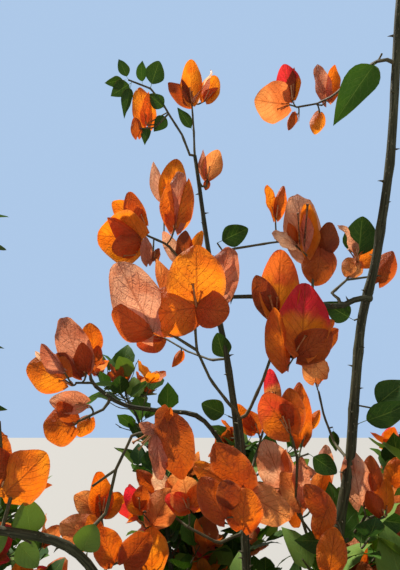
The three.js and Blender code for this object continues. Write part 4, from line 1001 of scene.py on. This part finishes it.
# Skins round paths, each a list of points with their radii
def makeSkin(name, paths, sides, relief, reliefScale, material):
    vertices, edges = [spot for path in paths for spot in path], []
    for path in paths:
        first = edges[-1][1] + 1 if edges else 0
        edges += [(i, i + 1) for i in range(first, first + len(path) - 1)]
    mesh = bpy.data.meshes.new(name + "Paths")
    mesh.from_pydata([tuple(point * mm) for point, radius in vertices], edges, [])
    setPoints(mesh, "limbRadius", "FLOAT", [radius * mm for point, radius in vertices])
    host = grown(name, mesh, "skin", Sides=sides, Relief=relief * mm, Relief_scale=reliefScale,
                 Material=material)
    host.data.shade_smooth()
    return host


caneSkin = {
    "sides": 10, "stepLength": 9, "fewestSteps": 12, "nodeSpacing": 46, "nodeLength": 4.5, "swell": 0.16,
    "zigzag": 0.5, "buried": 5, "buriedThick": 1.12, "footLength": 22, "footSwell": 0.28, "forkThin": 0.88,
    "trunkCane": 4, "relief": 0.5, "reliefScale": 160.0,
}


def canePath(limb, dice):
    count = max(caneSkin["fewestSteps"], round(limb["length"] / caneSkin["stepLength"]))
    spacing, length = caneSkin["nodeSpacing"], limb["length"]
    offset = spacing * dice()
    foot = limb["points"][0] - limb["square"] * caneSkin["buried"]
    path = [(foot, limb["thick"] * caneSkin["buriedThick"])]
    for i in range(count + 1):
        share = i / count
        node = (length * share + offset) / spacing
        near = abs(node - round(node)) * spacing
        side = across(tangentAt(limb["at"], share), heading(rule["turn"] * round(node), 0))
        fade = min(1.0, 4 * share, 4 * (1 - share) + 0.2)
        bend = caneSkin["zigzag"] * fade * (1 - min(1, near / (0.5 * spacing)))
        swell = 1 + caneSkin["swell"] * math.exp(-(near / caneSkin["nodeLength"]) ** 2) * fade
        foot = 1 + caneSkin["footSwell"] * max(0.0, 1 - length * share / caneSkin["footLength"])
        if limb["thick"] <= caneSkin["trunkCane"]:
            foot = caneSkin["forkThin"]
        radius = lerp(limb["thick"], limb["thin"], share) * swell * foot
        path.append((limb["at"](share) + side * bend, radius))
    return path


# The faces between rows of points, closed round or left open at the sides
def bandFaces(first, wide, rows, closed):
    faces = []
    for a in range(first, first + (rows - 1) * wide, wide):
        for k in range(wide if closed else wide - 1):
            b = (k + 1) % wide
            faces.append((a + k, a + b, a + wide + b, a + wide + k))
    return faces


trunkSkin = {
    "rings": 46, "sides": 56, "seed": 71, "knobs": 7, "knobFrom": (12, 74), "knobSize": (2.2, 2.4),
    "knobWide": 14, "knobReach": 46, "cleanFoot": 6,
    "furrows": ((0.55, 7, 0.05, 0), (0.35, 13, -0.09, 1.3), (0.22, 23, 0.21, 0)),
    "smallRidges": (0.03, 9, 1), "ringPower": 1.15, "reachLimit": (1.1, 1.2), "topShare": 0.94,
    "topRise": 2.5, "barkRadius": 0.014,
}


def makeTrunk():
    rings, sides, vertices, places = trunkSkin["rings"], trunkSkin["sides"], [], []
    dice, (small, ridgeCount, ridgeStart) = makeDice(trunkSkin["seed"]), trunkSkin["smallRidges"]
    knobs = [(dice() * 2 * math.pi, vary(trunkSkin["knobFrom"], dice), vary(trunkSkin["knobSize"], dice))
             for k in range(trunkSkin["knobs"])]
    for i in range(rings + 1):
        height = trunkForm["height"] * (i / rings) ** trunkSkin["ringPower"]
        centre, radius = trunkCentre(height), trunkRadius(height)
        flare = max(0.0, 1 - height / trunkForm["flareHeight"])
        for k in range(sides):
            angle = 2 * math.pi * k / sides
            furrow = sum(deep * math.sin(count * angle + rate * height + start)
                         for deep, count, rate, start in trunkSkin["furrows"])
            ridges = trunkForm["ridgeDepth"] * flare * math.cos(trunkForm["flareRidges"] * angle)
            root = 1 + ridges + small * flare * math.cos(ridgeCount * angle + ridgeStart)
            swell = 0
            for at, up, size in knobs:
                aside = math.remainder(angle - at, 2 * math.pi) * trunkSkin["knobWide"]
                swell += size * math.exp(-(aside ** 2 + (height - up) ** 2) / trunkSkin["knobReach"])
            reach = radius * root + furrow * (0.55 + flare) + swell * (height >= trunkSkin["cleanFoot"])
            widest = radius * trunkSkin["reachLimit"][0] + trunkSkin["reachLimit"][1]
            reach = min(reach * (trunkSkin["topShare"] if i == rings else 1), widest)
            cosine, sine = math.cos(angle), math.sin(angle)
            vertices.append(((centre.x + reach * cosine) * mm, (centre.y + reach * sine) * mm, height * mm))
            places.append((trunkSkin["barkRadius"] * cosine, trunkSkin["barkRadius"] * sine, height * mm))
    bottom, last, head = len(vertices), rings * sides, trunkCentre(trunkForm["height"])
    vertices += [(0, 0, 0), (head.x * mm, head.y * mm, (head.z + trunkSkin["topRise"]) * mm)]
    places += [(0, 0, 0), (0, 0, head.z * mm)]
    faces = bandFaces(0, sides, rings + 1, True)
    for k in range(sides):
        following = (k + 1) % sides
        faces += [(bottom, following, k), (bottom + 1, last + k, last + following)]
    mesh = bpy.data.meshes.new("trunkSkin")
    mesh.from_pydata(vertices, [], faces)
    setPoints(mesh, "barkPlace", "FLOAT_VECTOR", [c for place in places for c in place])
    mesh.materials.append(barkMaterial)
    mesh.shade_smooth()
    return linkObject("trunk_skin", mesh)


def register(piece, slot, *nodes):
    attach(piece, "root")
    if nodes:
        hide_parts(*nodes)
    return piece


caneDice = makeDice(11)
pieces = [register(makeTrunk(), "bark", "trunk")]
canePaths = [canePath(limb, caneDice) for limb in limbs.values()]
canes = makeSkin("cane_skins", canePaths, caneSkin["sides"], caneSkin["relief"], caneSkin["reliefScale"],
                 caneMaterial)
pieces.append(register(canes, "cane_bark", *limbs))
print("trunk and canes skinned")

# Each form of blade: cup, bend, fold, wave, waves, curl of the tip, lobes at the foot, tip's width and pucker
formParts = ("cup", "bend", "fold", "wave", "waves", "curl", "lobe", "tip", "pucker")
bractForms = {
    "open": (0.24, 0.65, 0.10, 0.052, 2.2, 0.8, 0.16, 0.60, 0.020),
    "deep": (0.52, 1.20, 0.08, 0.046, 1.7, 0.3, 0.18, 0.57, 0.020),
    "folded": (0.18, 0.55, 0.62, 0.030, 1.4, 0.2, 0.12, 0.70, 0.010),
    "curled": (-0.06, -0.40, 0.30, 0.055, 2.2, -2.2, 0.12, 0.85, 0.012),
    "loose": (0.20, 0.30, 0.06, 0.060, 2.6, 3.0, 0.15, 0.62, 0.020),
    "round": (0.45, 1.00, 0.05, 0.042, 2.0, 0.0, 0.20, 0.50, 0.020),
}
leafForms = (
    (0.06, -0.30, 0.16, 0.020, 1.8, -0.8, 0.0, 1.05, 0.006),
    (0.10, 0.10, 0.26, 0.025, 2.3, -1.6, 0.0, 1.15, 0.006),
    (0.02, -0.65, 0.08, 0.030, 1.5, -0.4, 0.0, 0.95, 0.006),
    (0.14, 0.35, 0.20, 0.015, 2.0, 1.0, 0.0, 0.62, 0.006),
)
bractOutline = {"widest": 0.38, "base": (2.2, 0.52), "crown": 1.75}
leafOutline = {"widest": 0.36, "base": (2.0, 0.72), "crown": 1.5}
leafStalk = {"share": 0.16, "sides": 3, "thick": 0.011, "wide": 1.4, "low": 0.6, "into": 1.12}
# A closed flower and a thorn, as the length, radius and drop of each ring
tubeProfile = (
    (0.0, 0.026), (0.10, 0.050), (0.28, 0.058), (0.50, 0.040), (0.80, 0.044), (0.94, 0.052), (1.0, 0.095),
)
thornProfile = ((0.0, 0.26, 0.0), (0.35, 0.15, -0.02), (0.72, 0.075, -0.09))
# What all blades share: where the tip starts to curl, how the lobes, fold and ripples run, quilting and
# fine dents
bladeRelief = {
    "curlFrom": 0.72, "lobePower": 1.6, "fold": 0.32, "otherSide": 1.9, "quiltRows": 6.5, "quiltSlant": 0.4,
    "dent": 0.9, "dentAcross": 7.1, "dentAlong": 8.3,
}
grids = {"crownBract": (7, 6), "frontBract": (14, 10), "crownLeaf": (6, 4), "frontLeaf": (14, 8)}


# How wide a blade is at a share of its length, 1 at its widest
def widthAt(outline, tip, v):
    widest = outline["widest"]
    if v < widest:
        power, sharp = outline["base"]
        return max(0.0, 1 - (1 - v / widest) ** power) ** sharp
    return max(0.0, 1 - ((v - widest) / (1 - widest)) ** outline["crown"]) ** tip


# A place on a blade of length 1 and width 1 before it is levelled: x across, y along, z towards its inside
def rawPlace(form, outline, u, v, phase):
    w, pucker = widthAt(outline, form["tip"], v), form["pucker"]
    y = v - form["lobe"] * abs(u) ** bladeRelief["lobePower"] * (1 - v) ** 3
    ripple = math.sin(2 * math.pi * (form["waves"] * v + phase) + (bladeRelief["otherSide"] if u < 0 else 0))
    rows = bladeRelief["quiltRows"] * (v - bladeRelief["quiltSlant"] * abs(u))
    quilt = abs(math.sin(math.pi * (rows + phase))) * (1 - abs(u)) * min(1, 2 * w)
    dents = math.sin(bladeRelief["dentAcross"] * u + 9 * phase + 1)
    dents *= math.sin(bladeRelief["dentAlong"] * v + 4 * phase) * w
    lift = form["cup"] * (u * w) ** 2 * 0.5 + form["fold"] * abs(u) * w * bladeRelief["fold"]
    lift += form["wave"] * ripple * abs(u) ** 3 * min(1, 3 * w)
    lift += pucker * (quilt + bladeRelief["dent"] * dents)
    bend, turn = form["bend"] or 1e-4, bladeRelief["curlFrom"]
    angle = bend * min(y, turn)
    place, height = math.sin(angle) / bend, (1 - math.cos(angle)) / bend
    if y > turn:
        rate = bend + form["curl"] or 1e-4
        last = angle + rate * (y - turn)
        place += (math.sin(last) - math.sin(angle)) / rate
        height += (math.cos(angle) - math.cos(last)) / rate
        angle = last
    return u * w * 0.5, place - math.sin(angle) * lift, height + math.cos(angle) * lift


# A blade in rows from its foot to its tip, which are both one point, turned so that the tip lies on the y
# axis at 1
def bladeGrid(form, outline, rows, columns, phase=0.0):
    form = dict(zip(formParts, form))
    raw = [(rawPlace(form, outline, 0, 0, phase), (0.5, 0.0))]
    for i in range(1, rows):
        v = 0.5 - 0.5 * math.cos(math.pi * i / rows)
        for j in range(columns + 1):
            raw.append((rawPlace(form, outline, 2 * j / columns - 1, v, phase), (j / columns, v)))
    tip = rawPlace(form, outline, 0, 1, phase)
    raw.append((tip, (0.5, 1.0)))
    chord = math.hypot(tip[1], tip[2])
    c, k = tip[1] / chord ** 2, tip[2] / chord ** 2
    places = [(x, y * c + z * k, z * c - y * k) for (x, y, z), spot in raw]
    wide, last = columns + 1, len(raw) - 1
    faces = [(0, 2 + j, 1 + j) for j in range(columns)] + bandFaces(1, wide, rows - 1, False)
    faces += [(last - wide + j, last - wide + j + 1, last) for j in range(columns)]
    return places, [spot for place, spot in raw], faces


# Rings round the y axis, each at (along, wide, high, drop), and the faces between them
def ringGrid(profile, sides, first=0, turn=0.0):
    angles = [2 * math.pi * k / sides + turn for k in range(sides)]
    places = [(wide * math.cos(a), y, high * math.sin(a) + drop)
              for y, wide, high, drop in profile for a in angles]
    faces = [(a, d, c, b) for a, b, c, d in bandFaces(first, sides, len(profile), True)]
    return places, [(k / sides, ring[0]) for ring in profile for k in range(sides)], faces


def leafGrid(form, rows, columns):
    places, maps, faces = bladeGrid(form, leafOutline, rows, columns)
    stalk, thick = leafStalk["share"], leafStalk["thick"]
    places = [(x, stalk + (1 - stalk) * y, (1 - stalk) * z) for x, y, z in places]
    wide, low, ends = thick * leafStalk["wide"], -thick * leafStalk["low"], (0.0, stalk * leafStalk["into"])
    profile = [(y, wide, thick, low) for y in ends]
    rings, marks, sides = ringGrid(profile, leafStalk["sides"], len(places), 0.5)
    return places + rings, maps + [(0.5, 0.02)] * len(rings), faces + sides


# A ring grid closed by a flat foot and one middle point
def closedGrid(profile, middle, sides=5):
    places, maps, faces = ringGrid(profile, sides)
    last, foot = len(places) - sides, [tuple(range(sides))]
    faces += foot + [(last + k, len(places), last + (k + 1) % sides) for k in range(sides)]
    return places + [middle], maps + [(0.5, 1.0)], faces


def makeCollection(name, grids, material):
    collection = bpy.data.collections.new(name)
    for i, (places, maps, faces) in enumerate(grids):
        mesh = bpy.data.meshes.new(f"{name}{i:02d}")
        mesh.from_pydata(places, [], faces)
        corners = [0] * len(mesh.loops)
        mesh.loops.foreach_get("vertex_index", corners)
        mesh.uv_layers.new(name="bladeMap").data.foreach_set("uv", [c for k in corners for c in maps[k]])
        mesh.materials.append(material)
        mesh.shade_smooth()
        collection.objects.link(bpy.data.objects.new(mesh.name, mesh))
    return collection


tube = closedGrid([(y, radius, radius, 0) for y, radius in tubeProfile], (0, 0.97, 0))
thorn = closedGrid([(y, radius, radius, drop) for y, radius, drop in thornProfile], (0, 1.0, -0.2))
shapes = {
    "crown_bracts": makeCollection("bractShape", [
        bladeGrid(form, bractOutline, *grids["crownBract"], 0.3 * k)
        for k, form in enumerate(bractForms.values())], bractMaterial),
    "front_bracts": makeCollection("fineShape", [
        bladeGrid(form, bractOutline, *grids["frontBract"], 0.37 * k + 0.1)
        for form in bractForms.values() for k in range(3)], bractMaterial),
    "crown_leaves": makeCollection(
        "leafShape", [leafGrid(form, *grids["crownLeaf"]) for form in leafForms], leafMaterial),
    "front_leaves": makeCollection(
        "fineLeaf", [leafGrid(form, *grids["frontLeaf"]) for form in leafForms], leafMaterial),
    "flower_tubes": makeCollection("tubeShape", [tube], tubeMaterial),
    "cane_thorns": makeCollection("thornShape", [thorn], twigMaterial),
}


# What the plant is dressed with: for each piece of blades rows of place, aim, inside, length, width, shape,
# tint and red flush, and for both skins of twigs their paths
blades, twigPaths = {name: [] for name in shapes}, {"front": [], "crown": []}


def addBlade(piece, place, aim, inside, length, width, shape, tint, flush=0.0):
    blades[piece].append((place, aim, inside, length, width, shape, tint, flush))


def eulerOf(along, facing):
    along = along.normalized()
    normal = across(along, facing)
    return Matrix((along.cross(normal), along, normal)).transposed().to_euler()


def scatter(name, material):
    rows, mesh = blades[name], bpy.data.meshes.new(name + "Points")
    mesh.from_pydata([tuple(row[0] * mm) for row in rows], [], [])
    setPoints(mesh, "turn", "FLOAT_VECTOR", [c for row in rows for c in eulerOf(row[1], row[2])])
    sizes = [c for row in rows for c in (row[4] * mm, row[3] * mm, row[3] * mm)]
    setPoints(mesh, "stretch", "FLOAT_VECTOR", sizes)
    setPoints(mesh, "shape", "INT", [row[5] for row in rows])
    setPoints(mesh, "tint", "FLOAT_COLOR", [c for row in rows for c in (*row[6], 1)])
    setPoints(mesh, "flush", "FLOAT", [row[7] for row in rows])
    return grown(name, mesh, "scatter", Shapes=shapes[name], Size=1.0, Material=material)


# The two darkest bract tints are painted shade: the orange paper darkened for bracts and parts of bracts that
# lie in the shade of other bracts.
bractTints = {
    "amber": (0.93, 0.29, 0.012), "orange": (0.80, 0.19, 0.008), "burnt": (0.50, 0.10, 0.008),
    # Peach, pink and mauve are partly the bracts' own colours and partly painted light: paler, pinker tints
    # for faces that catch the sun.
    "brown": (0.27, 0.055, 0.010), "peach": (0.78, 0.29, 0.10), "pink": (0.84, 0.42, 0.31),
    # The palest tint, last here, is a painted glint on curled and crinkled bract edges.
    "mauve": (0.62, 0.25, 0.18), "white": (0.90, 0.66, 0.56),
}
# The picture's leaves take the darkest green where they lie in shade and the lightest where the sun falls on
# them: painted shade and light over their own greens. The crown picks its tints at random, and its end leaves
# take the lightest.
leafTints = {
    "dark": (0.022, 0.060, 0.010), "mid": (0.038, 0.105, 0.010), "light": (0.118, 0.205, 0.042),
    "blue": (0.032, 0.085, 0.032),
}
tubeTints = {
    "dry": (0.30, 0.095, 0.030), "green": (0.20, 0.16, 0.05), "pale": (0.50, 0.26, 0.12),
    "dark": (0.070, 0.012, 0.006),
}
twigSkin = {
    "frontSides": 6, "crownSides": 5, "relief": 0.12, "reliefScale": 420.0, "nodeSpacing": 16, "swell": 0.22,
    "swellNarrow": 60, "nodeBend": 0.14, "stalk": 0.62, "stalkSag": 0.18, "stalkStep": 4.0, "frontStep": 6.0,
    "crownStep": 8.0,
}
frontForm = {
    "setBack": 1.8, "bractStalk": (0.55, 0.45), "leafStalk": (0.7, 0.6), "tubeShare": 0.38,
    "tubeLongest": 14.0, "tubeTints": ("dry", "pale", "dry"), "tubeOut": 0.9, "tubeSpread": 0.18,
    "tubeTowards": {"in": 0.2, "out": -0.45}, "tubeSizes": (0.85, 0.95, 1.05), "bractStalkBack": 0.6,
}
rightward, topward = Vector((1, 0, 0)), Vector((0, -math.sin(tilt), math.cos(tilt)))


def toEye(place):
    return (eye - place).normalized()


# A run with a point each side of every node, so that it stays nearly straight between nodes
def angular(points):
    run = [points[0]]
    for before, node, after in zip(points, points[1:], points[2:]):
        run += [node.lerp(before, twigSkin["nodeBend"]), node, node.lerp(after, twigSkin["nodeBend"])]
    return run + [points[-1]]


def addTwig(part, points, thick, thin, step):
    at, length = smoothPath(points, 60)
    count, path = max(3, round(length / step)), []
    for i in range(count + 1):
        share = i / count
        node = (share * length / twigSkin["nodeSpacing"]) % 1 - 0.5
        swell = 1 + twigSkin["swell"] * math.exp(-node ** 2 * twigSkin["swellNarrow"])
        path.append((at(share), lerp(thick, thin, share) * swell))
    twigPaths[part].append(path)


def addStalk(part, root, seat, axis, thick=twigSkin["stalk"]):
    middle = root.lerp(seat, 0.5) - axis * (twigSkin["stalkSag"] * (seat - root).length)
    addTwig(part, [root, middle, seat], thick, thick * 1.15, twigSkin["stalkStep"])


def addTube(place, aim, inside, length, tint, slim=1.0):
    addBlade("flower_tubes", place, aim, inside, length, length * slim, 0, tubeTints[tint])


# A blade's foot, aim and inside, from how the eye sees it
def posed(seat, clock, lean=0, roll=0, right=0, above=0):
    angle, lift = math.radians(clock), math.radians(lean)
    flat, near = rightward * math.cos(angle) + topward * math.sin(angle), toEye(seat)
    aim = flat * math.cos(lift) + near * math.sin(lift)
    return seat + rightward * right + topward * above, aim, turned(across(aim, near), aim, math.radians(roll))


def addPortrait(seat, rows, runs):
    near, forms = toEye(seat), list(bractForms)
    heroes = [posed(seat, row[0], *row[4:8]) for row in rows]
    axis = sum((aim for foot, aim, inside in heroes), Vector((0, 0, 0))).normalized()
    addStalk("front", nearestOnRuns(runs, seat), seat, axis)
    behind = near * -frontForm["setBack"]
    for (foot, aim, inside), (clock, length, width, kind, *rest) in zip(heroes, rows):
        face, form, tint = kind.split()
        if (foot - seat).length > 1:
            ends = (seat + behind, foot + aim + behind * frontForm["bractStalkBack"])
            twigPaths["front"].append(list(zip(ends, frontForm["bractStalk"])))
        shape = 3 * forms.index(form) + len(blades["front_bracts"]) % 3
        addBlade("front_bracts", foot, aim, inside if face == "in" else -inside, length, width, shape,
                 bractTints[tint], rest[4] if len(rest) > 4 else 0.0)
    middle = (axis + near * frontForm["tubeTowards"][rows[0][3].split()[0]]).normalized()
    longest = min(frontForm["tubeLongest"], frontForm["tubeShare"] * max(row[1] for row in rows))
    for k, tint in enumerate(frontForm["tubeTints"]):
        out = turned(across(middle, near), middle, 2 * math.pi * k / 3 + seat.x)
        aim = (middle + out * frontForm["tubeSpread"]).normalized()
        addTube(seat + out * frontForm["tubeOut"], aim, out, longest * frontForm["tubeSizes"][k], tint)


# The two long closed flowers that stand out on the right-hand bloom: shift right and up, clock angle and
# length
longTubes = {"rows": ((-7, 8, 93, 24), (-4, 8, 85, 30)), "lean": 0.35, "ahead": 5, "slim": 0.52}


def addLongTubes(seat):
    near = toEye(seat)
    for right, above, clock, length in longTubes["rows"]:
        angle = math.radians(clock)
        aim = rightward * math.cos(angle) + topward * math.sin(angle) + near * longTubes["lean"]
        aim.normalize()
        place = seat + rightward * right + topward * above + near * longTubes["ahead"]
        addTube(place, aim, across(aim, near), length, "dark", longTubes["slim"])


def addPictureLeaf(base, row, rootOf):
    clock, length, width, kind, *rest = row
    form, tint = kind.split()
    foot, aim, inside = posed(base, clock, *rest)
    root = rootOf(foot)
    if (foot - root).length > 2:
        addTwig("front", [root, foot], *frontForm["leafStalk"], twigSkin["stalkStep"])
    addBlade("front_leaves", foot, aim, inside, length, width, int(form), leafTints[tint])


for on, start, twigs, blooms, leaves in sprayTable.values():
    runs = sprayRuns(on, start, twigs)
    for k, run in enumerate(runs):
        thick = twigForm["tipRadius"] * 1.1 if k else twigForm["radius"]
        addTwig("front", angular(run), thick, twigForm["tipRadius"], twigSkin["frontStep"])
    for seat, rows in blooms:
        addPortrait(Vector(seat), rows, runs)
    for base, row in leaves:
        addPictureLeaf(Vector(base), row, lambda foot: nearestOnRuns(runs, foot))
addLongTubes(Vector(sprayTable["spray_right"][3][0][0]))
for limbName, share, row in caneLeaves:
    addPictureLeaf(limbs[limbName]["at"](share), row, lambda foot: nearestOnLimb(limbs[limbName], foot))

# The crown, carried on to finer twigs inside each mass's reach. Pairs are a least value and what chance
# adds to it.
crownForm = {
    "stemTwigs": 6, "sideTwigs": 3, "twigLength": (26, 24), "twigForward": 0.7, "twigThick": 0.9,
    "twigThin": 0.55, "twigRise": 0.25, "twigWander": 0.25, "stemThick": (1.5, 1.1), "stemThin": 0.8,
    "leafLength": (30, 26), "leafWide": (0.60, 0.16), "leafFirst": 0.6, "leafRise": (0.35, -0.6),
    "leavesPerTwig": 5, "leafForward": 0.55, "endLeaf": 0.8, "clusterShare": 0.34, "clusterSpread": 15,
    "clusterReach": (0.5, 0.6), "clusterLean": 0.75, "clusterSize": 0.88, "clusterStalk": 0.6,
    "opening": (24, 26), "bractLength": (30, 12), "bractWide": (0.66, 0.2), "flushed": 0.12, "flush": 0.8,
    "tubeLength": (14, 5), "tubeOut": 1.1, "tubeSpread": (0.16, 0.1), "massTube": 17, "massTubeOut": 1.2,
    "massTubeSpread": 0.2, "caneFirst": 0.24, "caneLast": 0.97, "caneForward": 0.5, "caneRise": 0.15,
    "caneSpacing": 17, "caneTwig": (34, 44), "caneThick": 1.1, "caneBloomFrom": 0.50,
    "caneBloom": (0.05, 0.40),
}
thornForm = {"from": 0.12, "seat": 0.7, "lean": 0.3, "length": 4.6, "tint": (0.1, 0.1, 0.1)}
# Sets of tints that the crown's bracts draw from at random; the darkest orange among them is painted shade.
crownTints = (
    ("amber", "orange", "peach"), ("orange", "burnt", "peach"), ("amber", "peach", "pink"),
    ("orange", "amber", "burnt"), ("peach", "mauve", "orange"),
)
# The open sky as tangents from the eye's axis, and the share of blades kept there
skyWindow = {"wide": 0.58, "low": -0.40, "foot": -0.74, "high": 0.74, "near": 290, "kept": 0.22}
bareAbove = {
    "cane_middle": 0.50, "cane_right": 0.50, "cane_low_left": 0.62, "cane_fork": 0.0, "arm_left": 0.0,
    "arm_right": 0.0,
}


# Whether a place stands against the open sky of the picture, where the bush is thin
def inOpenSky(place):
    away = place - eye
    depth = away.y * math.cos(tilt) + away.z * math.sin(tilt)
    rise = away.z * math.cos(tilt) - away.y * math.sin(tilt)
    low = skyWindow["low"] if depth > skyWindow["near"] else skyWindow["foot"]
    return depth > 0 and abs(away.x / depth) < skyWindow["wide"] and low < rise / depth < skyWindow["high"]


def addCrownLeaf(base, aim, length, dice, tint):
    if inOpenSky(base) and dice() > skyWindow["kept"]:
        return
    aim = (aim.normalized() + upward * vary(crownForm["leafRise"], dice)).normalized()
    inside = turned(across(aim, upward), aim, math.radians(rule["leafTurn"] * (dice() - 0.5)))
    width = length * vary(crownForm["leafWide"], dice)
    form = pick(range(len(leafForms)), dice)
    addBlade("crown_leaves", base, aim, inside, length, width, form, leafTints[tint])


def addCrownFlower(seat, axis, dice, tints, size):
    if inOpenSky(seat) and dice() > skyWindow["kept"]:
        return
    opening, spin = math.radians(vary(crownForm["opening"], dice)), 2 * math.pi * dice()
    reference = across(axis, heading(360 * dice(), 20))
    for k in range(3):
        out = turned(reference, axis, spin + 2 * math.pi * k / 3)
        main = axis * math.cos(opening) + out * math.sin(opening)
        length = vary(crownForm["bractLength"], dice) * size
        form, tint = pick(range(len(bractForms)), dice), bractTints[pick(tints, dice)]
        addBlade("crown_bracts", seat, main, axis - main * axis.dot(main), length,
                 length * vary(crownForm["bractWide"], dice), form, tint,
                 crownForm["flush"] if dice() > 1 - crownForm["flushed"] else 0.0)
        aim = (axis + out * vary(crownForm["tubeSpread"], dice)).normalized()
        tubeLength = vary(crownForm["tubeLength"], dice) * size
        addTube(seat + out * crownForm["tubeOut"], aim, out, tubeLength, pick(("dry", "green", "pale"), dice))


def addCluster(root, seat, axis, dice, tints, count):
    for k in range(count):
        aside = heading(360 * dice(), 60 * dice() - 10) * (crownForm["clusterLean"] if k else 0.0)
        lean, place = (axis + aside).normalized(), seat
        if k:
            place = seat + lean * crownForm["clusterSpread"] * vary(crownForm["clusterReach"], dice)
        addStalk("crown", root, place, lean, crownForm["clusterStalk"])
        addCrownFlower(place, lean, dice, tints, crownForm["clusterSize"] if k else 1.0)


def addLeafyTwig(root, aim, length, dice, tints, bloomShare, thick=crownForm["twigThick"]):
    wander = heading(360 * dice(), 0) * crownForm["twigWander"]
    bend = (aim + upward * crownForm["twigRise"] + wander).normalized()
    middle = root + aim * length * 0.5
    end, around, count = middle + bend * length * 0.5, 360 * dice(), crownForm["leavesPerTwig"]
    addTwig("crown", [root, middle, end], thick, crownForm["twigThin"], twigSkin["crownStep"])
    for k in range(count):
        share = (k + crownForm["leafFirst"]) / count
        base = root.lerp(middle, share * 2) if share < 0.5 else middle.lerp(end, share * 2 - 1)
        around += rule["turn"]
        side = across(aim, heading(around, 10))
        leafLength = vary(crownForm["leafLength"], dice)
        tint = pick(("dark", "mid", "mid", "light", "blue"), dice)
        addCrownLeaf(base, side + bend * crownForm["leafForward"], leafLength, dice, tint)
    if dice() < bloomShare:
        addCluster(end - bend * 2, end + bend * 4, bend, dice, tints, 1 + int(dice() * 2))
    else:
        addCrownLeaf(end, bend, vary(crownForm["leafLength"], dice) * crownForm["endLeaf"], dice, "light")


def growMass(spray, seed):
    (on, runs, blooms, leaves), dice, tints = spray, makeDice(300 + seed), crownTints[seed % len(crownTints)]
    root = nearestOnLimb(limbs[on], runs[0][0])
    for k, run in enumerate(runs):
        addTwig("crown", run if k else [root, *run], crownForm["stemThick"][k > 0], crownForm["stemThin"],
                twigSkin["crownStep"])
        at, length = smoothPath(run, 30)
        around, count = 360 * dice(), crownForm["sideTwigs" if k else "stemTwigs"]
        for i in range(count):
            share = (i + 0.5) / count
            around += rule["turn"]
            aim = tangentAt(at, share, 0.05)
            branch = (across(aim, heading(around, 15)) + aim * crownForm["twigForward"]).normalized()
            twigLength = vary(crownForm["twigLength"], dice)
            addLeafyTwig(at(share), branch, twigLength, dice, tints, crownForm["clusterShare"])
    for seat, tip, turn in blooms:
        axis, bracts = flowerOf(seat, tip, turn)
        stem, length = nearestOnRuns(runs, seat), (tip - seat).length
        addStalk("crown", stem, seat, axis)
        for k, (main, inside) in enumerate(bracts):
            addBlade("crown_bracts", seat, main, inside, length, length * rule["bractWidth"],
                     pick(range(len(bractForms)), dice), bractTints[tints[k % len(tints)]])
            out = across(axis, main)
            aim = (axis + out * crownForm["massTubeSpread"]).normalized()
            addTube(seat + out * crownForm["massTubeOut"], aim, main, crownForm["massTube"], "dry")
        above = across(axis, upward)
        addCluster(stem, seat - axis * 3 + above * 6, (axis + above).normalized(), dice, tints, 2)
    for base, tip, turn in leaves:
        aim = (tip - base).normalized()
        inside, length = turned(across(aim, upward), aim, math.radians(turn)), (tip - base).length
        form, tint = pick(range(len(leafForms)), dice), leafTints[pick(("dark", "mid"), dice)]
        stem, width = nearestOnRuns(runs, base), length * rule["leafWidth"]
        addBlade("crown_leaves", stem, aim, inside, length, width, form, tint)


def dressCane(name, limb, seed):
    dice, count = makeDice(900 + seed), int(limb["length"] / crownForm["caneSpacing"])
    around = 360 * dice()
    for i in range(count):
        share = (i + 0.3 + 0.5 * dice()) / count
        around += rule["turn"]
        place, tangent = limb["at"](min(1, share)), tangentAt(limb["at"], share)
        side = across(tangent, heading(around, 0))
        if share > thornForm["from"]:
            seat = place + side * lerp(limb["thick"], limb["thin"], share) * thornForm["seat"]
            length = thornForm["length"]
            addBlade("cane_thorns", seat, side + tangent * thornForm["lean"], tangent, length, length, 0,
                     thornForm["tint"])
        if crownForm["caneFirst"] < share < bareAbove.get(name, crownForm["caneLast"]):
            aim = (side + tangent * crownForm["caneForward"] + upward * crownForm["caneRise"]).normalized()
            length, blooms = vary(crownForm["caneTwig"], dice), share > crownForm["caneBloomFrom"]
            addLeafyTwig(place, aim, length, dice, crownTints[seed % len(crownTints)],
                         crownForm["caneBloom"][blooms], crownForm["caneThick"])


for seed, spray in enumerate(crownSprays):
    growMass(spray, seed)
for seed, (limbName, limb) in enumerate(limbs.items()):
    dressCane(limbName, limb, seed)
print("foliage placed")

for part, nodes in (("front", sprayTable), ("crown", crownTable)):
    twigs = makeSkin(part + "_twigs", twigPaths[part], twigSkin[part + "Sides"], twigSkin["relief"],
                     twigSkin["reliefScale"], twigMaterial)
    pieces += [register(twigs, "cane_bark"), register(scatter(part + "_leaves", leafMaterial), "leaf_spray"),
               register(scatter(part + "_bracts", bractMaterial), "bract_spray", *nodes)]
pieces.append(register(scatter("flower_tubes", tubeMaterial), "bract_spray"))
pieces.append(register(scatter("cane_thorns", twigMaterial), "cane_bark"))
for collection in shapes.values():
    for shape in list(collection.objects):
        bpy.data.objects.remove(shape)
    bpy.data.collections.remove(collection)
for piece in pieces:
    print(piece.name, sum(len(face.vertices) - 2 for face in piece.data.polygons), "triangles")

print("bush dressed")
